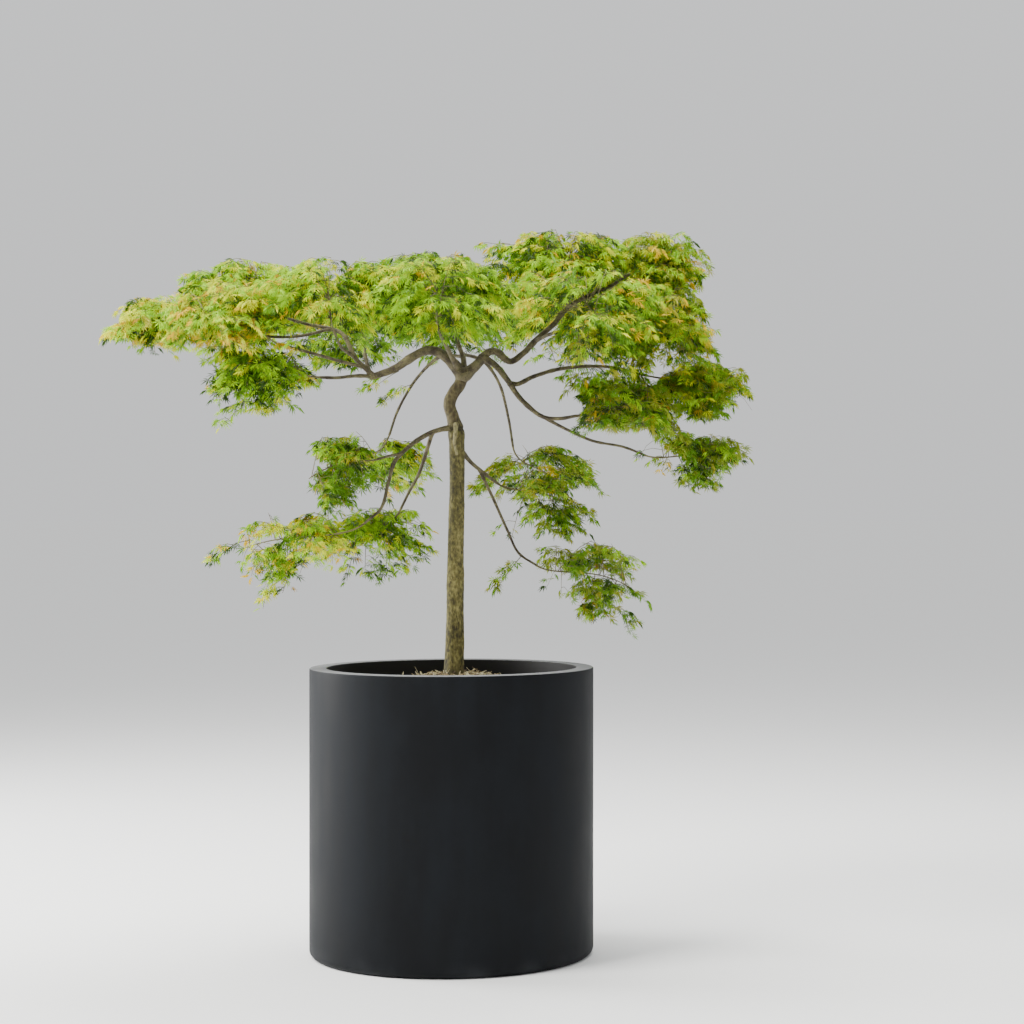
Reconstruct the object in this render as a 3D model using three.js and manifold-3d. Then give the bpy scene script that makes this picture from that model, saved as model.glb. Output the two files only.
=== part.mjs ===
// A weeping cut-leaf maple, grafted as a small standard tree, in a tall round planter.
// Millimetres, +Z up. The origin is the middle of the planter's flat underside, and the
// side that is looked at most faces -Y.

import * as THREE from "three";
import { mergeVertices } from "three/addons/utils/BufferGeometryUtils.js";
import Module from "manifold-3d";

const wasm = await Module();
wasm.setup();

// Driving dimensions

const GAP = 0.35; // left between solids that meet

const POT = { diameter: 1000, height: 1010, rimWidth: 62, floor: 60, footFillet: 26, rimFillet: 5, sides: 48 };

const SOIL = { edgeLevel: 935, crownLevel: 988, crownRadius: 110, moundRadius: 320, sides: POT.sides / 2 };

// The trunk: [x, y, z, radius] from the flat cut on the soil, by the graft, to the fork.
const TRUNK = {
  sides: 12,
  steps: 17,
  stations: [
    [7, 0, 970, 33],
    [8, 0, 1022, 32],
    [10, 0, 1110, 31],
    [13, 0, 1390, 27],
    [18, 0, 1670, 26],
    [18, 0, 1780, 27],
    [14, 0, 1848, 29],
    [2, 0, 1895, 22],
    [-9, 0, 1938, 22],
    [6, 0, 1980, 21.5],
    [28, 0, 2012, 21.5],
    [37, 0, 2050, 20],
  ],
  // a healed strip of bark that hangs from the graft line on the front
  tongue: { path: [[14, -25, 1866], [12, -31, 1840], [10, -29, 1800], [17, -27, 1770]], from: 9, to: 4.5 },
};

// A bough's cross-section is a polygon with fewer sides where the bough is thin.
const LIMB = { sides: 7, thinSides: 5, thin: 8, step: 76, check: 12 };

// Each bough: the limb that it grows on, the points that it runs through, and its radius at
// both ends. A bough that carries foliage ends where it enters it.
const BOUGHS = {
  left_main: {
    path: [[36, 0, 2040], [12, -4, 2072], [-20, -15, 2103], [-52, -26, 2122], [-88, -42, 2125],
      [-138, -60, 2101], [-200, -82, 2058], [-278, -100, 2028]],
    from: 19.5,
    to: 11.5,
  },
  right_main: { path: [[36, 0, 2036], [62, 0, 2056], [86, 0, 2078], [114, 0, 2110]], from: 19, to: 15.5 },
  left_reach: {
    path: [[-270, -99, 2030], [-336, -100, 2094], [-378, -86, 2176], [-430, -72, 2198], [-500, -50, 2213],
      [-570, -20, 2235]],
    from: 9,
    to: 5,
  },
  left_far: {
    path: [[-424, -74, 2196], [-540, -90, 2168], [-700, -70, 2172], [-850, -50, 2186]],
    from: 5.5,
    to: 4,
  },
  left_side: {
    path: [[-300, -100, 2060], [-390, -190, 2078], [-500, -260, 2105], [-580, -290, 2125]],
    from: 6.5,
    to: 4.5,
  },
  left_low: {
    path: [[-270, -98, 2030], [-330, -118, 2030], [-400, -140, 2022], [-450, -160, 2022]],
    from: 7,
    to: 5,
  },
  left_front: { path: [[-340, -100, 2098], [-380, -180, 2125], [-400, -270, 2170]], from: 6.5, to: 4.5 },
  left_back: {
    path: [[-288, -98, 2042], [-306, -40, 2119], [-312, 70, 2178], [-340, 170, 2220]],
    from: 7.5,
    to: 5,
  },
  centre_front: {
    path: [[20, -8, 2062], [-10, -90, 2118], [-30, -200, 2150], [-45, -290, 2172]],
    from: 9.5,
    to: 5,
  },
  centre_top: { path: [[40, 0, 2048], [38, 12, 2100], [20, 10, 2160], [0, 0, 2225]], from: 9, to: 5 },
  centre_back: {
    path: [[44, 6, 2046], [40, 80, 2110], [20, 190, 2165], [5, 290, 2205]],
    from: 11,
    to: 5.5,
  },
  right_rise: {
    path: [[108, 0, 2104], [134, 5, 2126], [162, 10, 2124], [186, 15, 2102], [208, 20, 2092],
      [250, 25, 2120], [304, 30, 2175], [359, 40, 2225], [415, 50, 2290], [498, 60, 2337],
      [570, 72, 2370], [622, 80, 2405]],
    from: 13,
    to: 5,
  },
  right_top: { path: [[392, 46, 2264], [392, 20, 2310], [400, 0, 2350]], from: 6.5, to: 4.5 },
  right_front: {
    path: [[296, 29, 2166], [330, -60, 2178], [370, -170, 2186], [405, -250, 2196]],
    from: 7,
    to: 4.5,
  },
  right_back: {
    path: [[262, 26, 2130], [300, 110, 2180], [350, 210, 2220], [385, 290, 2250]],
    from: 7.5,
    to: 4.5,
  },
  right_shoulder: {
    path: [[478, 58, 2328], [540, 30, 2290], [600, 0, 2250], [650, -20, 2225]],
    from: 6,
    to: 4,
  },
  right_sweep: {
    path: [[110, -2, 2104], [151, -20, 2077], [194, -40, 2024], [230, -60, 1969], [273, -80, 1923],
      [318, -100, 1891], [372, -118, 1884], [430, -125, 1893]],
    from: 12,
    to: 5.5,
  },
  right_mid: {
    path: [[204, -45, 2010], [232, -30, 2010], [285, 10, 2037], [378, 60, 2068], [472, 90, 2080],
      [569, 110, 2080], [700, 110, 2050]],
    from: 8.5,
    to: 4.5,
  },
  right_fall: {
    path: [[312, -98, 1894], [400, -60, 1850], [500, 0, 1810], [610, 30, 1790], [690, 40, 1760]],
    from: 6,
    to: 4,
  },
  low_left: {
    path: [[6, -2, 1858], [-60, -34, 1842], [-122, -70, 1808], [-165, -100, 1771], [-199, -120, 1732],
      [-220, -140, 1660], [-245, -155, 1570], [-300, -160, 1520]],
    from: 9.5,
    to: 4.5,
  },
  low_left_side: { path: [[-176, -106, 1760], [-215, -150, 1752], [-260, -175, 1738]], from: 5.5, to: 4 },
  low_left_inner: {
    path: [[-70, -40, 1836], [-92, 5, 1765], [-118, 35, 1691], [-152, 60, 1629], [-180, 75, 1572]],
    from: 7.5,
    to: 4.5,
  },
  back_left: {
    path: [[38, 88, 2114], [-40, 170, 2118], [-124, 262, 2050], [-196, 336, 1936], [-230, 384, 1845]],
    from: 6.5,
    to: 4.5,
  },
  back_right: {
    path: [[36, 104, 2124], [110, 190, 2106], [172, 290, 2030], [208, 376, 1908], [226, 436, 1806]],
    from: 6.5,
    to: 4.5,
  },
  low_right: { path: [[16, 4, 1802], [60, 40, 1742], [110, 90, 1700], [165, 150, 1660]], from: 9, to: 5 },
  low_right_fall: {
    path: [[98, 78, 1708], [150, 110, 1600], [200, 145, 1490], [240, 160, 1410], [305, 170, 1365]],
    from: 6,
    to: 4,
  },
};

// Each mass of foliage: the bough that it grows on, the middle of its space, and how far that
// space reaches from the middle along X, Y and Z. Its tint is one of the leaf colours.
const MASSES = {
  left_tip: { on: "left_far", middle: [-1020, -45, 2208], reach: [225, 210, 112], tint: "gold" },
  left_high: { on: "left_reach", middle: [-745, 60, 2320], reach: [245, 270, 150], tint: "lime" },
  left_mid: { on: "left_side", middle: [-705, -370, 2212], reach: [270, 260, 132], tint: "gold" },
  left_skirt: { on: "left_low", middle: [-645, -170, 2012], reach: [215, 230, 142], tint: "lime" },
  left_front: { on: "left_front", middle: [-400, -480, 2250], reach: [280, 280, 170], tint: "lime" },
  left_back: { on: "left_back", middle: [-430, 420, 2275], reach: [320, 310, 190], tint: "lime" },
  centre_front: { on: "centre_front", middle: [-40, -560, 2250], reach: [270, 320, 165], tint: "lime" },
  centre_top: { on: "centre_top", middle: [-90, -60, 2355], reach: [300, 300, 130], tint: "lime" },
  centre_back: { on: "centre_back", middle: [10, 590, 2285], reach: [310, 350, 190], tint: "lime" },
  right_top: { on: "right_top", middle: [400, -30, 2430], reach: [255, 250, 145], tint: "lime" },
  right_crest: { on: "right_rise", middle: [745, 90, 2440], reach: [200, 240, 150], tint: "gold" },
  right_front: { on: "right_front", middle: [440, -490, 2210], reach: [300, 300, 185], tint: "lime" },
  right_back: { on: "right_back", middle: [500, 480, 2250], reach: [320, 300, 195], tint: "lime" },
  right_shoulder: { on: "right_shoulder", middle: [725, -130, 2205], reach: [195, 250, 168], tint: "gold" },
  right_tip: { on: "right_mid", middle: [905, 100, 1985], reach: [205, 240, 130], tint: "gold" },
  right_skirt: { on: "right_sweep", middle: [565, -215, 1900], reach: [235, 235, 138], tint: "olive" },
  right_fall: { on: "right_fall", middle: [875, 30, 1742], reach: [210, 220, 128], tint: "olive" },
  back_left: { on: "back_left", middle: [-300, 560, 1725], reach: [235, 290, 165], tint: "lime" },
  back_right: { on: "back_right", middle: [330, 630, 1690], reach: [290, 280, 145], tint: "olive" },
  low_right: { on: "low_right", middle: [330, 260, 1590], reach: [265, 240, 165], tint: "olive" },
  low_right_fall: { on: "low_right_fall", middle: [505, 170, 1302], reach: [230, 230, 172], tint: "olive" },
  low_left: { on: "low_left_side", middle: [-368, -210, 1688], reach: [205, 230, 168], tint: "green" },
  low_left_fall: { on: "low_left", middle: [-560, -170, 1440], reach: [285, 240, 155], tint: "gold" },
  low_left_inner: { on: "low_left_inner", middle: [-235, 120, 1450], reach: [195, 240, 152], tint: "lime" },
};

// How a mass grows. Twigs leave its stem by turns to the left and right, each for its own
// tier of the space, and arch over before they hang.
const GROWTH = {
  seed: 7919,
  twigs: 6,
  tiers: [0.55, -0.2, -0.8],
  firstTurn: 2.5, // radians between the stem's way and the first twig's target
  lastTurn: 0.4,
  arch: 0.22, // height of the arch as a share of the twig's length
  fill: 0.68, // how far out in the space the twigs end, which leaves room for a leaf
  shares: [1, 0.8, 0.6], // a twig that would leave the space is tried shorter
  clear: 5, // from other limbs
  stemSides: 4,
  stemSteps: 4,
  stemTip: 4.2, // its radius there
  twigSides: 3,
  twigSteps: 2,
  twigRadius: [2.8, 2.2],
};

const LEAF = {
  length: 172,
  width: 112,
  widest: 0.42, // where, as a share of its length
  ridge: 3.2, // height above its edges
  sag: 2.5, // of its edges below its root and tip
  stations: [[0.38, 1], [0.64, -1], [0.88, 1]], // along a twig, and the side that it is on
  swing: 1.1, // how far a leaf beside the twig turns from the twig's way
  // a leaf that can't have its place is tried smaller, and hanging less or more
  tries: [[1, 0], [0.88, 0.4], [0.88, -0.3], [0.75, 0.8], [0.75, 0.2], [0.6, 0.5], [0.6, -0.2]],
};

const COLOURS = {
  pot: { color: 0x2b2d32, roughness: 0.62 },
  soil: { color: 0x6b5a44, roughness: 0.95 },
  bark: { color: 0x6d6448, roughness: 0.85 },
  bough: { color: 0x5d5140, roughness: 0.85 },
  lime: { color: 0x93a93a, roughness: 0.6 },
  green: { color: 0x6f8a34, roughness: 0.6 },
  gold: { color: 0xb3a03c, roughness: 0.6 },
  olive: { color: 0x6d7032, roughness: 0.6 },
};

// Solids from geometry and back

function solidOf(geometry) {
  const bare = geometry.clone();
  bare.deleteAttribute("normal");
  bare.deleteAttribute("uv");
  const merged = mergeVertices(bare, 1e-3);
  return new wasm.Manifold(
    new wasm.Mesh({
      numProp: 3,
      vertProperties: merged.attributes.position.array,
      triVerts: new Uint32Array(merged.index.array),
    }),
  );
}

function geometryOf(solid) {
  const mesh = solid.getMesh();
  const geometry = new THREE.BufferGeometry();
  geometry.setAttribute("position", new THREE.BufferAttribute(mesh.vertProperties, mesh.numProp));
  geometry.setIndex(new THREE.BufferAttribute(mesh.triVerts, 1));
  const flat = geometry.toNonIndexed();
  flat.computeVertexNormals();
  return flat;
}

// Whether a solid stays closed when its vertices are merged, at each of some distances.
function staysClosed(solid) {
  const mesh = solid.getMesh();
  return [0.001, 0.01, 0.05].every((distance) => {
    const geometry = new THREE.BufferGeometry();
    geometry.setAttribute("position", new THREE.BufferAttribute(mesh.vertProperties, mesh.numProp));
    geometry.setIndex(new THREE.BufferAttribute(mesh.triVerts, 1));
    const index = mergeVertices(geometry, distance).index.array;
    const edges = new Set();
    for (let i = 0; i < index.length; i++) {
      const end = i % 3 === 2 ? index[i - 2] : index[i + 1];
      if (index[i] === end || edges.has(`${index[i]} ${end}`)) return false;
      edges.add(`${index[i]} ${end}`);
    }
    return [...edges].every((edge) => edges.has(edge.split(" ").reverse().join(" ")));
  });
}

// The largest body of a solid, without loose scraps and sealed hollows.
function mainBody(solid) {
  return solid.decompose().reduce((a, b) => (b.volume() > a.volume() ? b : a));
}

// Shapes

const vector = (p) => new THREE.Vector3(p[0], p[1], p[2]);

const lerp = (a, b, t) => a + (b - a) * t;

// A cylinder bent along a curve: its height becomes the way along the curve. It is larger by
// an extra all over, ends too, where it is cut from its neighbours to clear them.
function bentCylinder(curve, radiusAt, sides, steps, extra = 0) {
  const geometry = new THREE.CylinderGeometry(1, 1, 1, sides, steps);
  const frames = curve.computeFrenetFrames(steps, false);
  const centres = curve.getSpacedPoints(steps);
  centres[0].addScaledVector(frames.tangents[0], -extra);
  centres[steps].addScaledVector(frames.tangents[steps], extra);
  const position = geometry.attributes.position;
  for (let i = 0; i < position.count; i++) {
    const step = Math.round((position.getY(i) + 0.5) * steps);
    const radius = radiusAt(step / steps) + extra;
    const point = centres[step]
      .clone()
      .addScaledVector(frames.binormals[step], position.getX(i) * radius)
      .addScaledVector(frames.normals[step], position.getZ(i) * radius);
    position.setXYZ(i, point.x, point.y, point.z);
  }
  return geometry;
}

// A profile of [radius, height] points turned round the Z axis.
function turned(profile, sides) {
  const points = profile.map(([radius, height]) => new THREE.Vector2(radius, height));
  return new THREE.LatheGeometry(points, sides).rotateX(Math.PI / 2);
}

// Points on a quarter circle round a centre, from one angle to another, in degrees.
function corner([x, y], radius, from, to, steps = 4) {
  return Array.from({ length: steps + 1 }, (_, i) => {
    const angle = THREE.MathUtils.degToRad(lerp(from, to, i / steps));
    return [x + radius * Math.cos(angle), y + radius * Math.sin(angle)];
  });
}

// The planter and its soil

function potSolid() {
  const outer = POT.diameter / 2;
  const inner = outer - POT.rimWidth;
  const { height, floor, footFillet, rimFillet } = POT;
  const profile = [
    [0, 0],
    ...corner([outer - footFillet, footFillet], footFillet, -90, 0, 2),
    ...corner([outer - rimFillet, height - rimFillet], rimFillet, 0, 90, 1),
    ...corner([inner + rimFillet, height - rimFillet], rimFillet, 90, 180, 1),
    [inner, floor],
    [0, floor],
  ];
  return solidOf(turned(profile, POT.sides));
}

function soilSolid() {
  const radius = POT.diameter / 2 - POT.rimWidth - GAP;
  const { edgeLevel, crownLevel, crownRadius, moundRadius } = SOIL;
  const profile = [
    [0, POT.floor + GAP],
    [radius, POT.floor + GAP],
    [radius, edgeLevel],
    [moundRadius, edgeLevel + 8],
    [crownRadius, crownLevel],
    [0, crownLevel],
  ];
  return solidOf(turned(profile, SOIL.sides));
}

// The trunk and the boughs

function trunkSolid(extra = 0) {
  const { stations, sides, steps, tongue } = TRUNK;
  const curve = new THREE.CatmullRomCurve3(stations.map(vector), false, "centripetal");
  const heights = stations.map((s) => s[2]);
  const radiusAt = (t) => {
    const z = curve.getPointAt(t).z;
    const i = Math.min(heights.findLastIndex((h) => h <= z + 1e-6), heights.length - 2);
    const k = (z - heights[i]) / (heights[i + 1] - heights[i]);
    return lerp(stations[i][3], stations[i + 1][3], THREE.MathUtils.clamp(k, 0, 1));
  };
  const strip = new THREE.CatmullRomCurve3(tongue.path.map(vector));
  const stripSolid = solidOf(bentCylinder(strip, (t) => lerp(tongue.from, tongue.to, t), 6, 5, extra));
  const ground = new THREE.BoxGeometry(200, 200, 100).translate(0, 0, SOIL.crownLevel + GAP - 50);
  const stem = solidOf(bentCylinder(curve, radiusAt, sides, steps, extra));
  return mainBody(stem.add(stripSolid).subtract(solidOf(ground)));
}

const curveOf = (bough) => new THREE.CatmullRomCurve3(bough.path.map(vector), false, "centripetal");

function boughSolid(bough, extra = 0) {
  const curve = curveOf(bough);
  const steps = Math.max(3, Math.round(curve.getLength() / LIMB.step));
  const sides = bough.from < LIMB.thin ? LIMB.thinSides : LIMB.sides;
  return solidOf(bentCylinder(curve, (t) => lerp(bough.from, bough.to, t), sides, steps, extra));
}

// The trunk and every bough, each cut clear of those before it.
function growLimbs() {
  const solids = { trunk: trunkSolid() };
  let wood = trunkSolid(GAP);
  for (const [name, bough] of Object.entries(BOUGHS)) {
    solids[`bough_${name}`] = mainBody(boughSolid(bough).subtract(wood));
    wood = wood.add(boughSolid(bough, GAP));
  }
  return { solids, wood };
}

// Points down the middle of every bough, for keeping twigs clear of it.
function limbMiddles() {
  return Object.entries(BOUGHS).flatMap(([name, bough]) => {
    const curve = curveOf(bough);
    const count = Math.ceil(curve.getLength() / LIMB.check);
    return curve.getSpacedPoints(count).map((point, i) => ({
      name,
      point,
      radius: lerp(bough.from, bough.to, i / count),
      nearTip: i > count - 5,
    }));
  });
}

// The foliage

// A stream of numbers from 0 to 1 that is the same on every run.
function numbers(seed) {
  let state = seed >>> 0;
  return () => {
    state = (Math.imul(state, 1664525) + 1013904223) >>> 0;
    return state / 4294967296;
  };
}

// How far out a point lies in a mass's space: 0 in the middle, 1 at its edge.
function depthIn(mass, point) {
  const [x, y, z] = mass.middle;
  const [a, b, c] = mass.reach;
  return Math.hypot((point.x - x) / a, (point.y - y) / b, (point.z - z) / c);
}

// Whether a point is in a mass's own space, which ends halfway to the next mass.
function isHome(name, point, margin = 0.012) {
  const own = depthIn(MASSES[name], point);
  return own <= 1 && Object.entries(MASSES).every(
    ([other, mass]) => other === name || depthIn(mass, point) > own + margin,
  );
}

const middles = limbMiddles();

// Whether a twig of that radius would touch a limb at that point.
function touchesLimb(on, point, radius) {
  return middles.some(
    (m) => !(m.name === on && m.nearTip) && m.point.distanceTo(point) < m.radius + radius + GROWTH.clear,
  );
}

// A mass's stem: on from its bough's tip, over the middle of its space, and out to the far side.
function stemCurve(mass) {
  const curve = curveOf(BOUGHS[mass.on]);
  const way = curve.getTangentAt(1);
  const start = curve.getPointAt(1).addScaledVector(way, GAP);
  const middle = vector(mass.middle);
  const out = middle.clone().sub(start).setZ(0).normalize();
  const across = 1 / Math.hypot(out.x / mass.reach[0], out.y / mass.reach[1]);
  const length = middle.distanceTo(start);
  return {
    out,
    curve: new THREE.CubicBezierCurve3(
      start,
      start.clone().addScaledVector(way, 0.4 * length),
      middle.clone().setZ(mass.middle[2] + 0.4 * mass.reach[2]),
      middle.clone().addScaledVector(out, 0.6 * across).setZ(mass.middle[2] - 0.1 * mass.reach[2]),
    ),
  };
}

// A point on the straight pieces that a bent cylinder is made of, at a share of its steps.
function pointOn(curve, steps, station) {
  const centres = curve.getSpacedPoints(steps);
  const step = Math.min(Math.floor(station * steps), steps - 1);
  return centres[step].clone().lerp(centres[step + 1], station * steps - step);
}

// Where each of a mass's twigs runs: from a station on the stem to a target in the space,
// shortened until it stays home and clear of the limbs.
function twigCurves(name) {
  const mass = MASSES[name];
  const next = numbers(GROWTH.seed + 101 * Object.keys(MASSES).indexOf(name));
  const { out, curve } = stemCurve(mass);
  const twigs = [];
  for (let i = 0; i < GROWTH.twigs; i++) {
    const along = (i + 0.5) / GROWTH.twigs;
    const side = i % 2 ? 1 : -1;
    const turn = side * (lerp(GROWTH.firstTurn, GROWTH.lastTurn, along) + 0.5 * (next() - 0.5));
    const tier = GROWTH.tiers[i % GROWTH.tiers.length] + 0.24 * (next() - 0.5);
    const wide = Math.sqrt(1 - tier * tier);
    const heading = Math.atan2(out.y, out.x) + turn;
    const start = pointOn(curve, GROWTH.stemSteps, 0.2 + 0.78 * along);
    const target = new THREE.Vector3(
      mass.middle[0] + mass.reach[0] * GROWTH.fill * wide * Math.cos(heading),
      mass.middle[1] + mass.reach[1] * GROWTH.fill * wide * Math.sin(heading),
      mass.middle[2] + mass.reach[2] * GROWTH.fill * tier,
    );
    for (const share of GROWTH.shares) {
      const end = start.clone().lerp(target, share);
      const length = end.distanceTo(start);
      const bend = start.clone().lerp(end, 0.5).add(new THREE.Vector3(0, 0, 2 * GROWTH.arch * length));
      const twig = new THREE.QuadraticBezierCurve3(start, bend, end);
      const free = twig.getPoints(6).slice(2).every(
        (p) => isHome(name, p) && !touchesLimb(mass.on, p, GROWTH.twigRadius[0]),
      );
      if (free) {
        twigs.push(twig);
        break;
      }
    }
  }
  return twigs;
}

// The corners of a ridged leaf: its sides, its ridge and its tip.
function leafCorners(root, { way, face }, share) {
  const { length, width, widest, ridge, sag } = LEAF;
  const sideways = face.clone().cross(way).normalize();
  const at = (along, aside, above) => root
    .clone()
    .addScaledVector(way, along * share)
    .addScaledVector(sideways, aside * share)
    .addScaledVector(face, above);
  return {
    left: at(widest * length, 0.5 * width, -sag),
    right: at(widest * length, -0.5 * width, -sag),
    ridge: at(widest * length, 0, ridge),
    tip: at(length, 0, 0),
  };
}

// A leaf from its root, which lies in the middle of its twig, to its tip.
function leafSolid(root, { left, right, ridge, tip }) {
  const nearRoot = [root, ridge, left, root, right, ridge, root, left, right];
  const nearTip = [tip, left, ridge, tip, ridge, right, tip, right, left];
  return solidOf(new THREE.BufferGeometry().setFromPoints([...nearRoot, ...nearTip]));
}

// A leaf's way and face: on along its twig, swung to one side, and hanging.
function leafPose(along, swing, hang, tilt) {
  const aside = new THREE.Vector3(-along.y, along.x, 0).normalize();
  const way = along.clone().addScaledVector(aside, swing);
  way.z -= hang;
  way.normalize();
  const face = new THREE.Vector3(0, 0, 1).addScaledVector(aside, tilt);
  face.addScaledVector(way, -face.dot(way)).normalize();
  return { way, face };
}

// Whether a leaf stays in its mass's space, at its corners and at points between them.
function leafIsHome(name, root, corners) {
  return Object.values(corners).every((corner) =>
    [0.5, 1].every((share) => isHome(name, root.clone().lerp(corner, share), 0)));
}

// The first of a leaf's tries that stays home and passes a test on its solid.
function placeLeaf(name, root, along, [swing, hang, tilt], build, passes) {
  for (const [share, more] of LEAF.tries) {
    const corners = leafCorners(root, leafPose(along, swing, hang + more, tilt), share);
    if (!leafIsHome(name, root, corners)) continue;
    const solid = build(corners);
    if (passes(solid)) return solid;
  }
  return null;
}

// A three-sided twig that ends in a leaf: rings along its curve, then the leaf's own.
function twigSolid(curve, corners) {
  const { twigSteps, twigRadius } = GROWTH;
  const rings = curve.getSpacedPoints(twigSteps).map((centre, i) => {
    const along = curve.getTangentAt(i / twigSteps);
    const aside = new THREE.Vector3(-along.y, along.x, 0).normalize();
    const up = along.clone().cross(aside).normalize();
    const radius = lerp(twigRadius[0], twigRadius[1], i / twigSteps);
    return [-150, -30, 90].map((degrees) => {
      const angle = THREE.MathUtils.degToRad(degrees);
      return centre
        .clone()
        .addScaledVector(aside, -radius * Math.cos(angle))
        .addScaledVector(up, radius * Math.sin(angle));
    });
  });
  if (corners) rings.push([corners.left, corners.right, corners.ridge]);
  const faces = [rings[0][0], rings[0][1], rings[0][2]];
  for (let i = 0; i + 1 < rings.length; i++) {
    for (let k = 0; k < 3; k++) {
      const [a, b] = [rings[i][k], rings[i][(k + 1) % 3]];
      const [c, d] = [rings[i + 1][k], rings[i + 1][(k + 1) % 3]];
      faces.push(a, c, b, b, c, d);
    }
  }
  const last = rings[rings.length - 1];
  if (corners) {
    for (let k = 0; k < 3; k++) faces.push(last[k], corners.tip, last[(k + 1) % 3]);
  } else {
    faces.push(last[0], last[2], last[1]);
  }
  return solidOf(new THREE.BufferGeometry().setFromPoints(faces));
}

// A mass of foliage as one solid: stem, twigs and leaves, fused. A leaf that would leave the
// space, or touch wood or foliage other than its own twig, is skipped.
function massSolid(name, taken) {
  const next = numbers(GROWTH.seed + 31 + 211 * Object.keys(MASSES).indexOf(name));
  const { stemSides, stemSteps, stemTip, twigSteps } = GROWTH;
  const stem = stemCurve(MASSES[name]).curve;
  const stemRadius = (t) => lerp(BOUGHS[MASSES[name].on].to, stemTip, t);
  const stemPiece = solidOf(bentCylinder(stem, stemRadius, stemSides, stemSteps));
  const draw = (swing) => [swing + 0.3 * (next() - 0.5), 0.1 + 0.3 * next(), 0.5 * (next() - 0.5)];
  const clearOf = (solid, others) => others.every((other) => solid.intersect(other).isEmpty());

  const curves = twigCurves(name);
  const twigs = [];
  for (const curve of curves) {
    const end = curve.getPointAt(1);
    const passes = (solid) => clearOf(solid, [...twigs, ...taken]);
    twigs.push(
      placeLeaf(name, end, curve.getTangentAt(1), draw(0), (corners) => twigSolid(curve, corners), passes)
        ?? twigSolid(curve, null),
    );
  }
  const leaves = [];
  curves.forEach((curve, i) => {
    for (const [station, side] of LEAF.stations) {
      const root = pointOn(curve, twigSteps, station);
      const others = [...twigs.filter((_, k) => k !== i), ...leaves, ...taken];
      const leaf = placeLeaf(name, root, curve.getTangentAt(station), draw(side * LEAF.swing),
        (corners) => leafSolid(root, corners), (solid) => clearOf(solid, others));
      if (leaf) leaves.push(leaf);
    }
  });
  let mass = stemPiece;
  for (const piece of [...twigs, ...leaves]) {
    const fused = mainBody(mass.add(piece));
    if (staysClosed(fused)) mass = fused;
  }
  return mass;
}

// The scene graph

const paint = (look) => new THREE.MeshStandardMaterial({ ...look, metalness: 0 });

function piece(name, solid, look) {
  const mesh = new THREE.Mesh(geometryOf(solid), paint(look));
  mesh.name = name;
  return mesh;
}

const plant = new THREE.Group();
plant.add(piece("pot", potSolid(), COLOURS.pot));
plant.add(piece("soil", soilSolid(), COLOURS.soil));

const { solids, wood } = growLimbs();
for (const [name, solid] of Object.entries(solids))
  plant.add(piece(name, solid, name === "trunk" ? COLOURS.bark : COLOURS.bough));

const taken = [wood];
for (const [name, mass] of Object.entries(MASSES)) {
  const solid = massSolid(name, taken);
  taken.push(solid);
  plant.add(piece(`leaves_${name}`, solid, COLOURS[mass.tint]));
}

export default plant;
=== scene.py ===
"""A weeping cut-leaf maple, grafted as a small standard tree, in a tall round planter.

Sizes are in millimetres, as in the part's source, and become metres where a mesh is made.
+Z is up, the origin is the middle of the planter's flat underside, and the side that is
looked at most faces -Y.
"""

import logging
import math
from dataclasses import dataclass, field
from enum import Enum

import bpy
import numpy as np
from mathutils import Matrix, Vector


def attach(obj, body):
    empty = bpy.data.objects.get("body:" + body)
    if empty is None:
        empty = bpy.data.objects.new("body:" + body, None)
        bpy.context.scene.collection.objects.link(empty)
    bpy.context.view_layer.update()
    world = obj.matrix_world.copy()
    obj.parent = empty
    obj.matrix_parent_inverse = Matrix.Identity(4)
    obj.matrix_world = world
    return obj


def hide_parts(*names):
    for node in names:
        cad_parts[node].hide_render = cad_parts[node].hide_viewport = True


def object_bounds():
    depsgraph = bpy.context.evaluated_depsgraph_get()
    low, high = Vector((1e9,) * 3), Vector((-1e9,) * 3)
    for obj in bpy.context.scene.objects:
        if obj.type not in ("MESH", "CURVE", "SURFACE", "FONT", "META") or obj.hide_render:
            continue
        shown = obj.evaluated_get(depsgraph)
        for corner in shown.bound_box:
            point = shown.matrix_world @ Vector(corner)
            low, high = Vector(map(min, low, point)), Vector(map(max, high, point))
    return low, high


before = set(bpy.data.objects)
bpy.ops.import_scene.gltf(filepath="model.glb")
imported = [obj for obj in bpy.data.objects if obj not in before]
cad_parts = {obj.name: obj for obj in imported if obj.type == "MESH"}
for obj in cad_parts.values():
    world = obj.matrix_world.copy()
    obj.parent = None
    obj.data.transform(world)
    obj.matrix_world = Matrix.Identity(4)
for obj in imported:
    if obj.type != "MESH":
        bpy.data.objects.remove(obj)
CAD_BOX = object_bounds()

LOG = logging.getLogger("maple")

MM = 0.001  # metres in a millimetre
BODY = "root"
GRAFT = 1850.0  # the height at which the crown is grafted onto the stem
CROWN_FLOOR = 2100.0  # the height over which the upper crown lies
UP = np.array([0.0, 0.0, 1.0])
LEVEL = np.array([1.0, 1.0, 0.0])  # a vector times this has its height left out

Points = np.ndarray  # rows of x, y, z
Triangles = np.ndarray  # rows of three indices into points
Place = tuple[float, float, float]
Curve = tuple[Place, Place, Place]  # control points of a quadratic Bezier
Rgb = tuple[int, int, int]  # 0 to 255
Linear = tuple[float, float, float, float]  # a colour as light values, with its alpha


# Tables from the part's source


@dataclass(frozen=True)
class Bough:
    """A tapering limb: the points that it runs through, and its radius at both ends."""

    path: tuple[Place, ...]
    start: float
    end: float

    def curve(self) -> Points:
        """Close points along it."""
        return catmull_rom(np.array(self.path, float))


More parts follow.
